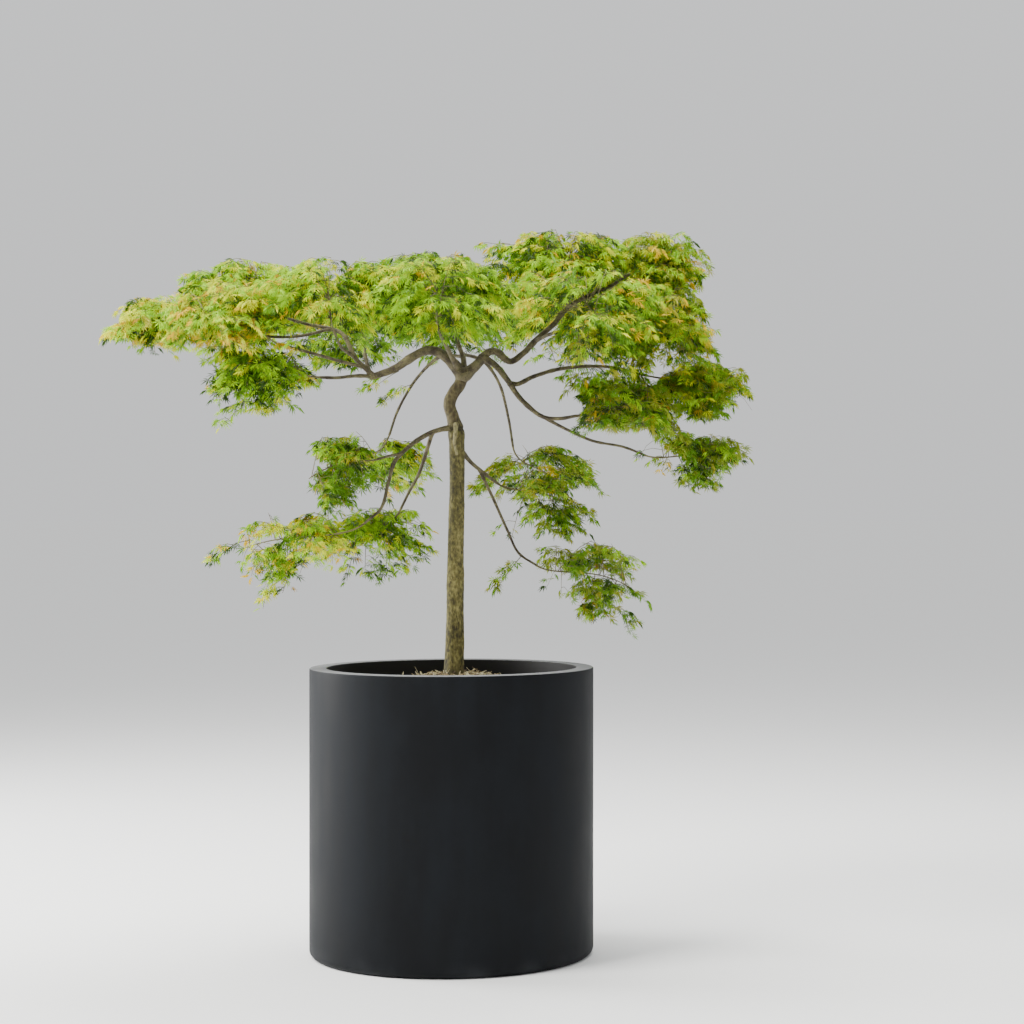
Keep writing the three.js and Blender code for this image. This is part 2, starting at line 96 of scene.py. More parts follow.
@dataclass(frozen=True)
class Mass:
    """A mass of foliage: its bough, the middle of its space and its reach along X, Y and Z."""

    on: str
    middle: Place
    reach: Place

    def depth(self, points: Points) -> np.ndarray:
        """How far out points lie in its space: 0 in the middle, 1 at its edge."""
        return np.linalg.norm((points - self.middle) / np.array(self.reach), axis=-1)

    @property
    def is_low(self) -> bool:
        """Whether its middle hangs below the graft."""
        return self.middle[2] < GRAFT

    @property
    def is_upper(self) -> bool:
        """Whether its middle lies over the trunk's fork."""
        return self.middle[2] > CROWN_FLOOR


BOUGHS: dict[str, Bough] = {
    "left_main": Bough(
        ((36, 0, 2040), (12, -4, 2072), (-20, -15, 2103), (-52, -26, 2122), (-88, -42, 2125),
         (-138, -60, 2101), (-200, -82, 2058), (-278, -100, 2028)), 19.5, 11.5),
    "right_main": Bough(((36, 0, 2036), (62, 0, 2056), (86, 0, 2078), (114, 0, 2110)), 19, 15.5),
    "left_reach": Bough(
        ((-270, -99, 2030), (-336, -100, 2094), (-378, -86, 2176), (-430, -72, 2198),
         (-500, -50, 2213), (-570, -20, 2235)), 9, 5),
    "left_far": Bough(
        ((-424, -74, 2196), (-540, -90, 2168), (-700, -70, 2172), (-850, -50, 2186)), 5.5, 4),
    "left_side": Bough(
        ((-300, -100, 2060), (-390, -190, 2078), (-500, -260, 2105), (-580, -290, 2125)), 6.5, 4.5),
    "left_low": Bough(
        ((-270, -98, 2030), (-330, -118, 2030), (-400, -140, 2022), (-450, -160, 2022)), 7, 5),
    "left_front": Bough(((-340, -100, 2098), (-380, -180, 2125), (-400, -270, 2170)), 6.5, 4.5),
    "left_back": Bough(
        ((-288, -98, 2042), (-306, -40, 2119), (-312, 70, 2178), (-340, 170, 2220)), 7.5, 5),
    "centre_front": Bough(
        ((20, -8, 2062), (-10, -90, 2118), (-30, -200, 2150), (-45, -290, 2172)), 9.5, 5),
    "centre_top": Bough(((40, 0, 2048), (38, 12, 2100), (20, 10, 2160), (0, 0, 2225)), 9, 5),
    "centre_back": Bough(((44, 6, 2046), (40, 80, 2110), (20, 190, 2165), (5, 290, 2205)), 11, 5.5),
    "right_rise": Bough(
        ((108, 0, 2104), (134, 5, 2126), (162, 10, 2124), (186, 15, 2102), (208, 20, 2092),
         (250, 25, 2120), (304, 30, 2175), (359, 40, 2225), (415, 50, 2290), (498, 60, 2337),
         (570, 72, 2370), (622, 80, 2405)), 13, 5),
    "right_top": Bough(((392, 46, 2264), (392, 20, 2310), (400, 0, 2350)), 6.5, 4.5),
    "right_front": Bough(
        ((296, 29, 2166), (330, -60, 2178), (370, -170, 2186), (405, -250, 2196)), 7, 4.5),
    "right_back": Bough(
        ((262, 26, 2130), (300, 110, 2180), (350, 210, 2220), (385, 290, 2250)), 7.5, 4.5),
    "right_shoulder": Bough(((478, 58, 2328), (540, 30, 2290), (600, 0, 2250), (650, -20, 2225)), 6, 4),
    "right_sweep": Bough(
        ((110, -2, 2104), (151, -20, 2077), (194, -40, 2024), (230, -60, 1969), (273, -80, 1923),
         (318, -100, 1891), (372, -118, 1884), (430, -125, 1893)), 12, 5.5),
    "right_mid": Bough(
        ((204, -45, 2010), (232, -30, 2010), (285, 10, 2037), (378, 60, 2068), (472, 90, 2080),
         (569, 110, 2080), (700, 110, 2050)), 8.5, 4.5),
    "right_fall": Bough(
        ((312, -98, 1894), (400, -60, 1850), (500, 0, 1810), (610, 30, 1790), (690, 40, 1760)), 6, 4),
    "low_left": Bough(
        ((6, -2, 1858), (-60, -34, 1842), (-122, -70, 1808), (-165, -100, 1771), (-199, -120, 1732),
         (-220, -140, 1660), (-245, -155, 1570), (-300, -160, 1520)), 9.5, 4.5),
    "low_left_side": Bough(((-176, -106, 1760), (-215, -150, 1752), (-260, -175, 1738)), 5.5, 4),
    "low_left_inner": Bough(
        ((-70, -40, 1836), (-92, 5, 1765), (-118, 35, 1691), (-152, 60, 1629), (-180, 75, 1572)), 7.5, 4.5),
    "back_left": Bough(
        ((38, 88, 2114), (-40, 170, 2118), (-124, 262, 2050), (-196, 336, 1936), (-230, 384, 1845)),
        6.5, 4.5),
    "back_right": Bough(
        ((36, 104, 2124), (110, 190, 2106), (172, 290, 2030), (208, 376, 1908), (226, 436, 1806)),
        6.5, 4.5),
    "low_right": Bough(((16, 4, 1802), (60, 40, 1742), (110, 90, 1700), (165, 150, 1660)), 9, 5),
    "low_right_fall": Bough(
        ((98, 78, 1708), (150, 110, 1600), (200, 145, 1490), (240, 160, 1410), (305, 170, 1365)), 6, 4),
}

MASSES: dict[str, Mass] = {
    "left_tip": Mass("left_far", (-1020, -45, 2208), (225, 210, 112)),
    "left_high": Mass("left_reach", (-745, 60, 2320), (245, 270, 150)),
    "left_mid": Mass("left_side", (-705, -370, 2212), (270, 260, 132)),
    "left_skirt": Mass("left_low", (-645, -170, 2012), (215, 230, 142)),
    "left_front": Mass("left_front", (-400, -480, 2250), (280, 280, 170)),
    "left_back": Mass("left_back", (-430, 420, 2275), (320, 310, 190)),
    "centre_front": Mass("centre_front", (-40, -560, 2250), (270, 320, 165)),
    "centre_top": Mass("centre_top", (-90, -60, 2355), (300, 300, 130)),
    "centre_back": Mass("centre_back", (10, 590, 2285), (310, 350, 190)),
    "right_top": Mass("right_top", (400, -30, 2430), (255, 250, 145)),
    "right_crest": Mass("right_rise", (745, 90, 2440), (200, 240, 150)),
    "right_front": Mass("right_front", (440, -490, 2210), (300, 300, 185)),
    "right_back": Mass("right_back", (500, 480, 2250), (320, 300, 195)),
    "right_shoulder": Mass("right_shoulder", (725, -130, 2205), (195, 250, 168)),
    "right_tip": Mass("right_mid", (905, 100, 1985), (205, 240, 130)),
    "right_skirt": Mass("right_sweep", (565, -215, 1900), (235, 235, 138)),
    "right_fall": Mass("right_fall", (875, 30, 1742), (210, 220, 128)),
    "back_left": Mass("back_left", (-300, 560, 1725), (235, 290, 165)),
    "back_right": Mass("back_right", (330, 630, 1690), (290, 280, 145)),
    "low_right": Mass("low_right", (330, 260, 1590), (265, 240, 165)),
    "low_right_fall": Mass("low_right_fall", (505, 170, 1302), (230, 230, 172)),
    "low_left": Mass("low_left_side", (-368, -210, 1688), (205, 230, 168)),
    "low_left_fall": Mass("low_left", (-560, -170, 1440), (285, 240, 155)),
    "low_left_inner": Mass("low_left_inner", (-235, 120, 1450), (195, 240, 152)),
}


# Points and triangles


def unit(vectors: np.ndarray) -> np.ndarray:
    """Vectors divided by their lengths."""
    return vectors / np.maximum(np.linalg.norm(vectors, axis=-1, keepdims=True), 1e-9)


def angles(count: int) -> np.ndarray:
    """Even turns round a circle, in radians."""
    return np.linspace(0, 2 * math.pi, count, endpoint=False)


def turned(way: Points, turn: np.ndarray) -> Points:
    """Level unit directions: ways with their height left out, turned about Z.

    Args:
        way: rows of x, y, z.
        turn: each way's turn in radians, anticlockwise seen from above.

    Returns:
        (x cos t - y sin t, x sin t + y cos t, 0) of each flattened way.
    """
    flat = unit(way * LEVEL + 1e-6)
    return np.stack([
        flat[:, 0] * np.cos(turn) - flat[:, 1] * np.sin(turn),
        flat[:, 0] * np.sin(turn) + flat[:, 1] * np.cos(turn), 0 * turn], -1)


def smoothstep(low: float, high: float, value: np.ndarray) -> np.ndarray:
    """3t² - 2t³ of t, the value's place between low and high, held from 0 to 1."""
    t = np.clip((value - low) / (high - low), 0, 1)
    return t * t * (3 - 2 * t)


def lattice_noise(points: Points, size: float | Place, seed: float) -> np.ndarray:
    """Smooth noise from -1 to 1: hashed values on the corners of a lattice, eased between them.

    Args:
        points: where the noise is wanted.
        size: the size of a lattice cell, or its sizes along X, Y and Z.
        seed: which of many noises.

    Returns:
        One value for each point.
    """
    cell = np.asarray(points) / np.asarray(size)
    corner = np.floor(cell)
    part = cell - corner
    ease = part * part * (3 - 2 * part)
    total = np.zeros(cell.shape[:-1])
    for dx in (0, 1):
        for dy in (0, 1):
            for dz in (0, 1):
                at = corner + (dx, dy, dz)
                mixed = at[..., 0] * 127.1 + at[..., 1] * 311.7 + at[..., 2] * 74.7 + seed * 19.19
                value = np.sin(mixed) * 43758.5453
                value = (value - np.floor(value)) * 2 - 1
                share = np.abs(1 - dx - ease[..., 0])
                share = share * np.abs(1 - dy - ease[..., 1])
                total += value * share * np.abs(1 - dz - ease[..., 2])
    return total


@dataclass(frozen=True)
class Relief:
    """A lattice noise that lifts a surface: its cells' size, its most lift and its seed."""

    size: float | Place
    most: float
    seed: float

    def noise(self, points: Points) -> np.ndarray:
        """The noise from -1 to 1."""
        return lattice_noise(points, self.size, self.seed)

    def lift(self, points: Points) -> np.ndarray:
        """The noise times the most lift."""
        return self.most * self.noise(points)

    def humps(self, points: Points, power: int = 1) -> np.ndarray:
        """The noise where it is above 0, to a power, times the most lift."""
        return self.most * np.clip(self.noise(points), 0, 1) ** power


def grid_triangles(rows: int, columns: int) -> Triangles:
    """Triangles of a grid of points that is closed round its columns.

    Args:
        rows: how many rings of points.
        columns: how many points in a ring.

    Returns:
        Two triangles for each square of the grid.
    """
    i, j = np.meshgrid(np.arange(rows - 1), np.arange(columns), indexing="ij")
    a = i * columns + j
    b = i * columns + (j + 1) % columns
    c, d = b + columns, a + columns
    return np.stack([np.stack([a, b, c], -1), np.stack([a, c, d], -1)], 2).reshape(-1, 3)


def closed_tube(rings: np.ndarray) -> tuple[Points, Triangles]:
    """Rings of points joined into a tube that a fan of triangles closes at either end.

    Args:
        rings: an array of rings by points by x, y, z.

    Returns:
        The points, with the two poles last, and the triangles.
    """
    rows, columns = rings.shape[:2]
    points = np.concatenate([rings.reshape(-1, 3), rings[0].mean(0)[None], rings[-1].mean(0)[None]])
    j = np.arange(columns)
    after = (j + 1) % columns
    low = np.stack([np.full(columns, rows * columns), after, j], -1)
    top = (rows - 1) * columns
    high = np.stack([np.full(columns, rows * columns + 1), top + j, top + after], -1)
    return points, np.concatenate([grid_triangles(rows, columns), low, high])


def copied(triangles: Triangles, count: int, points: int) -> Triangles:
    """A shape's triangles for each of its copies, whose points follow one another."""
    return (triangles[None] + np.arange(count)[:, None, None] * points).reshape(-1, 3)


def closed_tubes(rings: np.ndarray) -> tuple[Points, Triangles]:
    """Many closed tubes with as many rings each.

    Args:
        rings: an array of tubes by rings by points by x, y, z.

    Returns:
        The points, tube by tube with its two poles last, and the triangles.
    """
    _, one = closed_tube(rings[0])
    poles = rings[:, (0, -1)].mean(2)
    points = np.concatenate([rings.reshape(len(rings), -1, 3), poles], 1)
    return points.reshape(-1, 3), copied(one, len(rings), points.shape[1])


def catmull_rom(path: Points, fine: int = 48) -> Points:
    """Close points on the centripetal Catmull-Rom curve through a path, as in the source.

    Each span is a cubic whose end slopes come from the roots of the distances between the
    path's points, with one more point laid out straight past each end.

    Args:
        path: rows of x, y, z.
        fine: points worked out on each span.

    Returns:
        Points along the whole curve.
    """
    wide = np.concatenate([[2 * path[0] - path[1]], path, [2 * path[-1] - path[-2]]])
    p0, p1, p2, p3 = (wide[i : len(wide) - 3 + i, None] for i in range(4))
    spans = ((p0, p1), (p1, p2), (p2, p3))
    d0, d1, d2 = (np.sqrt(np.linalg.norm(b - a, axis=-1, keepdims=True)) for a, b in spans)
    s1 = ((p1 - p0) / d0 - (p2 - p0) / (d0 + d1) + (p2 - p1) / d1) * d1
    s2 = ((p2 - p1) / d1 - (p3 - p1) / (d1 + d2) + (p3 - p2) / d2) * d1
    t = (np.arange(fine) / fine)[None, :, None]
    cubic = p1 + s1 * t + (3 * (p2 - p1) - 2 * s1 - s2) * t**2 + (2 * (p1 - p2) + s1 + s2) * t**3
    return np.concatenate([cubic.reshape(-1, 3), path[-1:]])


def evenly(points: Points, count: int) -> tuple[Points, Points, float]:
    """A line of points laid out again at even distances.

    Args:
        points: rows of x, y, z.
        count: how many points are wanted.

    Returns:
        The points, their unit tangents and the line's length.
    """
    steps = np.concatenate([[0], np.cumsum(np.linalg.norm(np.diff(points, axis=0), axis=1))])
    at = np.linspace(0, steps[-1], count)
    even = np.stack([np.interp(at, steps, points[:, k]) for k in range(3)], -1)
    return even, unit(np.gradient(even, axis=0)), float(steps[-1])


def bezier(control: np.ndarray, t: np.ndarray) -> tuple[np.ndarray, np.ndarray]:
    """Points and unit tangents of quadratic Bezier curves at shares of their length.

    Args:
        control: curves by three control points by x, y, z.
        t: curves by shares.

    Returns:
        Points and tangents, each curves by shares by x, y, z.
    """
    a, b, c = (control[:, None, k] for k in range(3))
    t = t[..., None]
    point = (1 - t) ** 2 * a + 2 * t * (1 - t) * b + t**2 * c
    return point, unit(2 * (1 - t) * (b - a) + 2 * t * (c - b))


def make_piece(
    name: str,
    points: Points,
    triangles: Triangles,
    finishes: list[bpy.types.Material],
    kinds: np.ndarray | None = None,
    smooth: bool = True,
) -> bpy.types.Object:
    """One mesh object, at the origin and with its place in its mesh.

    Args:
        name: the piece's name.
        points: rows of x, y, z in millimetres.
        triangles: rows of three indices into the points, seen from outside anticlockwise.
        finishes: the materials of its slots.
        kinds: each triangle's slot, or None where there is one.
        smooth: whether it is shaded smooth.

    Returns:
        The new object.
    """
    mesh = bpy.data.meshes.new(name)
    mesh.vertices.add(len(points))
    mesh.vertices.foreach_set("co", (np.asarray(points) * MM).astype(np.float32).ravel())
    mesh.loops.add(3 * len(triangles))
    mesh.loops.foreach_set("vertex_index", triangles.astype(np.int32).ravel())
    mesh.polygons.add(len(triangles))
    mesh.polygons.foreach_set("loop_start", np.arange(0, 3 * len(triangles), 3, dtype=np.int32))
    for finish in finishes:
        mesh.materials.append(finish)
    if kinds is not None:
        mesh.polygons.foreach_set("material_index", kinds.astype(np.int32))
    mesh.polygons.foreach_set("use_smooth", np.full(len(triangles), smooth))
    mesh.update(calc_edges=True)
    made = bpy.data.objects.new(name, mesh)
    bpy.context.scene.collection.objects.link(made)
    return made


def joined(shapes: list[tuple[Points, Triangles]]) -> tuple[Points, Triangles]:
    """Several shapes as one.

    Args:
        shapes: each shape's points and triangles.

    Returns:
        All points, and all triangles with their indices moved on.
    """
    starts = np.cumsum([0] + [len(points) for points, _ in shapes])
    triangles = [faces + start for (_, faces), start in zip(shapes, starts)]
    return np.concatenate([points for points, _ in shapes]), np.concatenate(triangles)


def dress(piece: bpy.types.Object, nodes: list[str]) -> None:
    """Makes a piece ride on the body and stand for CAD nodes, whose parts it hides.

    Args:
        piece: the piece.
        nodes: the CAD nodes that it replaces.
    """
    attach(piece, BODY)
    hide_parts(*nodes)
    LOG.info("%s: %d triangles", piece.name, len(piece.data.polygons))


# Finishes


def linear(colour: Rgb) -> Linear:
    """A colour as light values: ((c + 0.055) / 1.055) to the power 2.4, and straight near 0."""
    shares = [value / 255 for value in colour]
    light = [s / 12.92 if s <= 0.04045 else ((s + 0.055) / 1.055) ** 2.4 for s in shares]
    return (light[0], light[1], light[2], 1.0)


class Value:
    """A number in a finish's node tree: sums on it add Math nodes."""

    def __init__(self, finish: "Finish", socket: bpy.types.NodeSocket) -> None:
        """Wraps an output socket of a finish's tree."""
        self.finish = finish
        self.socket = socket

    def maths(self, operation: str, *values: "Value | float") -> "Value":
        """A Math node on these values."""
        return self.finish.node("ShaderNodeMath", {"operation": operation}, dict(enumerate(values)))

    def __add__(self, other: "Value | float") -> "Value":
        """self + other"""
        return self.maths("ADD", self, other)

    __radd__ = __add__

    def __rsub__(self, other: float) -> "Value":
        """other - self"""
        return self.maths("SUBTRACT", other, self)

    def __mul__(self, other: "Value | float") -> "Value":
        """self x other"""
        return self.maths("MULTIPLY", self, other)

    __rmul__ = __mul__

    def between(self, low: float, high: float) -> "Value":
        """0 below low, 1 above high, and smooth between them."""
        settings = {"interpolation_type": "SMOOTHSTEP"}
        inputs = {"Value": self, "From Min": low, "From Max": high}
        return self.finish.node("ShaderNodeMapRange", settings, inputs)


class Finish:
    """A material whose surface is worked out by nodes."""

    def __init__(self, name: str) -> None:
        """An empty material with one surface shader."""
        self.material = bpy.data.materials.new(name)
        self.material.use_nodes = True
        self.tree = self.material.node_tree
        self.shader = self.tree.nodes["Principled BSDF"]
        self.place = self.node("ShaderNodeTexCoord", {}, {}, "Object")

    def node(self, kind: str, settings: dict, inputs: dict, output: str | int = 0) -> Value:
        """A node: its settings are set first, and then its sockets.

        Args:
            kind: Blender's name of the node type.
            settings: its own settings; "stops" are a ramp's places and colours.
            inputs: values or links by the socket's name or number.
            output: the socket that is wanted.

        Returns:
            The output, wrapped.
        """
        made = self.tree.nodes.new(kind)
        for name, value in settings.items():
            if name == "stops":
                ramp = made.color_ramp.elements
                while len(ramp) < len(value):
                    ramp.new(0.5)
                for element, (place, colour) in zip(ramp, value):
                    element.position = place
                    element.color = colour
            else:
                setattr(made, name, value)
        for name, value in inputs.items():
            self.give(made.inputs[name], value)
        return Value(self, made.outputs[output])

    def give(self, socket: bpy.types.NodeSocket, value: "Value | float | tuple") -> None:
        """Links a socket to a node's output, or sets its own value."""
        if isinstance(value, Value):
            self.tree.links.new(value.socket, socket)
        else:
            socket.default_value = value

    def surface(self, **values: "Value | float | tuple") -> None:
        """Gives the shader's sockets, named with _ for a space, their values or links."""
        for name, value in values.items():
            self.give(self.shader.inputs[name.replace("_", " ")], value)

    def noise(
        self, scale: float, detail: float = 4.0, stretch: Place = (1.0, 1.0, 1.0), shift: float = 0.0
    ) -> Value:
        """Noise of 0 to 1 on the object's own place.

        Args:
            scale: cells to a metre.
            detail: octaves.
            stretch: how many times as many cells lie along X, Y and Z.
            shift: moves the pattern, so that two noises differ.

        Returns:
            The noise.
        """
        inputs = {"Vector": self.place, "Scale": stretch, "Location": (shift, shift, shift)}
        mapped = self.node("ShaderNodeMapping", {}, inputs)
        return self.node("ShaderNodeTexNoise", {}, {"Vector": mapped, "Scale": scale, "Detail": detail})

    def along(self, axis: str) -> Value:
        """The place along X, Y or Z, in metres."""
        return self.node("ShaderNodeSeparateXYZ", {}, {0: self.place}, axis)

    def ramp(self, value: Value, *stops: tuple[float, Rgb]) -> Value:
        """Colours by a value, between stops of a place and a colour."""
        settings = {"stops": [(place, linear(colour)) for place, colour in stops]}
        return self.node("ShaderNodeValToRGB", settings, {0: value})

    def mix(self, share: "Value | float", one: "Value | Rgb", other: "Value | Rgb") -> Value:
        """A colour from one to the other by a share."""
        ends = [end if isinstance(end, Value) else linear(end) for end in (one, other)]
        inputs = {"Factor": share, 6: ends[0], 7: ends[1]}
        return self.node("ShaderNodeMix", {"data_type": "RGBA"}, inputs, 2)

    def bump(self, height: Value, depth: float, strength: float = 1.0) -> Value:
        """A normal from a height of 0 to 1, where 1 stands a depth in metres proud."""
        inputs = {"Height": height, "Distance": depth, "Strength": strength}
        return self.node("ShaderNodeBump", {}, inputs, "Normal")


@dataclass(frozen=True)
class MatteFibre:
    """The planter's finish: dark anthracite fibre composite, faintly mottled and dusty, with painted light
    on rim and inside.
    """

    deep: Rgb = (9, 11, 14)
    pale: Rgb = (16, 19, 23)
    dust_and_painted_highlight: Rgb = (143, 143, 147)
    # painted light: the inner wall is paler than the outside, for the light that reaches it
    inside: Rgb = (34, 33, 32)
    foot_height: float = 0.07  # metres, up to which a little dust clings
    rim_heights: tuple[float, float] = (1.0082, 1.0099)  # dust settles and a highlight is painted between them and above
    inside_squares: tuple[float, float] = (0.1925, 0.1975)  # of radii between which it changes to the inner wall's painted light
    roughness: tuple[float, float, float] = (0.56, 0.1, 0.12)  # least, mottle's and dust's more
    relief: tuple[float, float] = (0.0009, 0.45)  # depth in metres and strength
    specular: float = 0.12

    def material(self) -> bpy.types.Material:
        """The finish as a material."""
        made = Finish("matte_fibre")
        cloud = made.noise(4.5, 5, (1, 1, 0.7))
        streak = made.noise(16, 4, (1, 1, 0.12), 3.0)
        grain = made.noise(420, 3, shift=7.0)
        height = made.along("Z")
        mottle = (cloud * 0.62 + streak * 0.38).between(0.36, 0.66)
        colour = made.mix(mottle, self.deep, self.pale)
        foot = (1 - height.between(0.0, self.foot_height)) * cloud.between(0.42, 0.66) * 0.05
        # the rim's top: partly real dust, partly a painted highlight where the top catches the light
        rim = height.between(*self.rim_heights) * (made.noise(46, 4, shift=11.0) * 0.4 + 0.55)
        # painted light: inside the inner wall's radius the colour turns to the paler inside
        x, y = made.along("X"), made.along("Y")
        inner = 1 - (x * x + y * y).between(*self.inside_squares)
        colour = made.mix(inner, colour, self.inside)
        colour = made.mix(foot, colour, self.dust_and_painted_highlight)
        colour = made.mix(rim, colour, self.dust_and_painted_highlight)
        relief = grain * 0.7 + made.noise(90, 3, shift=5.0) * 0.3
        made.surface(
            Base_Color=colour,
            Roughness=self.roughness[0] + mottle * self.roughness[1] + rim * self.roughness[2],
            Normal=made.bump(relief, *self.relief),
            Specular_IOR_Level=self.specular,
        )
        return made.material


@dataclass(frozen=True)
class StemBark:
    """The trunk's bark: olive grey with pale lichen specks, browner above the graft."""

    name: str = "stem_bark"
    deep: Rgb = (50, 45, 24)
    olive: Rgb = (100, 93, 48)
    lichen: Rgb = (156, 147, 88)
    upper: Rgb = (60, 50, 33)
    film: Rgb = (104, 94, 64)
    crack: Rgb = (38, 32, 21)
    graft: float = GRAFT * MM  # metres, as the heights below
    shaded: tuple[float, float] = (1.12, 1.8)  # painted shade of the crown: it darkens upwards between them
    stained: tuple[float, float] = (0.985, 1.05)  # the soil's stain fades between them
    roughness: tuple[float, float] = (0.78, 0.16)  # least, and the flecks' more
    relief: tuple[float, float] = (0.0035, 0.75)  # depth in metres and strength

    def material(self) -> bpy.types.Material:
        """The finish as a material."""
        made = Finish(self.name)
        height = made.along("Z")
        cloud = made.noise(26, 5, (1, 1, 0.45))
        fleck = made.noise(112, 5, (1, 1, 0.62), 2.0)
        fissure = made.noise(112, 5, (1, 1, 0.42), 4.0)
        tone = cloud * 0.45 + fleck * 0.55
        colour = made.ramp(tone, (0.36, self.deep), (0.5, self.olive), (0.66, self.lichen))
        # painted shade: darker towards the crown that shades the trunk
        colour = made.mix(height.between(*self.shaded) * 0.4, colour, self.deep)
        scion = height.between(self.graft - 0.004, self.graft + 0.03)
        brown = made.mix((cloud * 0.5 + fleck * 0.5).between(0.38, 0.64), self.upper, self.film)
        colour = made.mix(scion * 0.94, colour, brown)
        cracks = (1 - fissure.between(0.34, 0.46)) * (0.72 - scion * 0.5)
        colour = made.mix(cracks, colour, self.crack)
        above = height.between(self.graft - 0.012, self.graft - 0.003)
        band = above * (1 - height.between(self.graft + 0.003, self.graft + 0.014))
        colour = made.mix(band * 0.8, colour, self.crack)
        stain = 1 - height.between(*self.stained)
        colour = made.mix(stain * 0.45, colour, self.crack)
        made.surface(
            Base_Color=colour,
            Roughness=self.roughness[0] + fleck * self.roughness[1],
            Normal=made.bump(fissure * 0.6 + fleck * 0.4, *self.relief),
        )
        return made.material


@dataclass(frozen=True)
class LimbBark:
    """The bark of boughs and twigs: smooth and brown, with grey-green film and fine cracks."""

    name: str = "limb_bark"
    deep: Rgb = (58, 48, 36)
    film: Rgb = (112, 104, 74)
    crack: Rgb = (30, 25, 19)
    roughness: tuple[float, float] = (0.7, 0.2)  # least, and the flecks' more
    relief: tuple[float, float] = (0.0016, 0.6)  # depth in metres and strength

    def material(self) -> bpy.types.Material:
        """The finish as a material."""
        made = Finish(self.name)
        cloud = made.noise(34, 5)
        fleck = made.noise(320, 4, shift=2.0)
        colour = made.mix((cloud * 0.6 + fleck * 0.4).between(0.38, 0.64), self.deep, self.film)
        colour = made.mix((1 - fleck.between(0.3, 0.42)) * 0.6, colour, self.crack)
        made.surface(
            Base_Color=colour,
            Roughness=self.roughness[0] + fleck * self.roughness[1],
            Normal=made.bump(fleck, *self.relief),
        )
        return made.material


@dataclass(frozen=True)
class Loam:
    """Dark potting soil, drier and paler in patches."""

    damp: Rgb = (36, 29, 22)
    dry: Rgb = (98, 84, 64)
    roughness: float = 0.92
    relief: tuple[float, float] = (0.006, 0.8)  # depth in metres and strength

    def material(self) -> bpy.types.Material:
        """The finish as a material."""
        made = Finish("loam")
        crumb = made.noise(150, 6)
        patch = made.noise(12, 4, shift=3.0)
        colour = made.mix((crumb * 0.6 + patch * 0.4).between(0.4, 0.64), self.damp, self.dry)
        made.surface(Base_Color=colour, Roughness=self.roughness, Normal=made.bump(crumb, *self.relief))
        return made.material


@dataclass(frozen=True)
class Straw:
    """Dry mulch: pale straw and wood chips with a grain."""

    name: str
    tone: Rgb
    dullness: float = 0.66  # the grain's dark lines, as a share of the tone
    roughness: float = 0.85
    relief: tuple[float, float] = (0.001, 0.5)  # depth in metres and strength

    def material(self) -> bpy.types.Material:
        """The finish as a material."""
        made = Finish(self.name)
        grain = made.noise(260, 3)
        red, green, blue = (int(value * self.dullness) for value in self.tone)
        colour = made.mix(grain.between(0.35, 0.62), (red, green, blue), self.tone)
        made.surface(Base_Color=colour, Roughness=self.roughness, Normal=made.bump(grain, *self.relief))
        return made.material


BLADE_ROUGHNESS = 0.48
BLADE_SPECULAR = 0.24
BLADE_GLOW = 0.2  # the share of light that passes through a leaf


class Shade(Enum):
    """The plain colours that leaves are dealt: a blade by reflected and by passing light."""

    LIME = ((160, 204, 22), (198, 230, 24))
    GREEN = ((104, 150, 24), (146, 190, 26))
    YELLOW = ((206, 214, 28), (230, 232, 30))
    DEEP = ((52, 80, 20), (80, 114, 24))
    AMBER = ((212, 182, 34), (230, 194, 34))
    OLIVE = ((140, 158, 42), (170, 184, 40))
    KHAKI = ((164, 164, 48), (188, 186, 44))
    BRONZE = ((166, 134, 40), (190, 148, 40))

    def material(self) -> bpy.types.Material:
        """A leaf blade: a soft sheen on the surface, mixed with light that passes through."""
        made = Finish("leaf_" + self.name.lower())
        blade, glow = self.value
        made.surface(Base_Color=linear(blade), Roughness=BLADE_ROUGHNESS, Specular_IOR_Level=BLADE_SPECULAR)
        through = made.node("ShaderNodeBsdfTranslucent", {}, {"Color": linear(glow)})
        surface = Value(made, made.shader.outputs[0])
        both = made.node("ShaderNodeMixShader", {}, {0: BLADE_GLOW, 1: surface, 2: through})
        made.give(made.tree.nodes["Material Output"].inputs["Surface"], both)
        return made.material


# The planter and its soil


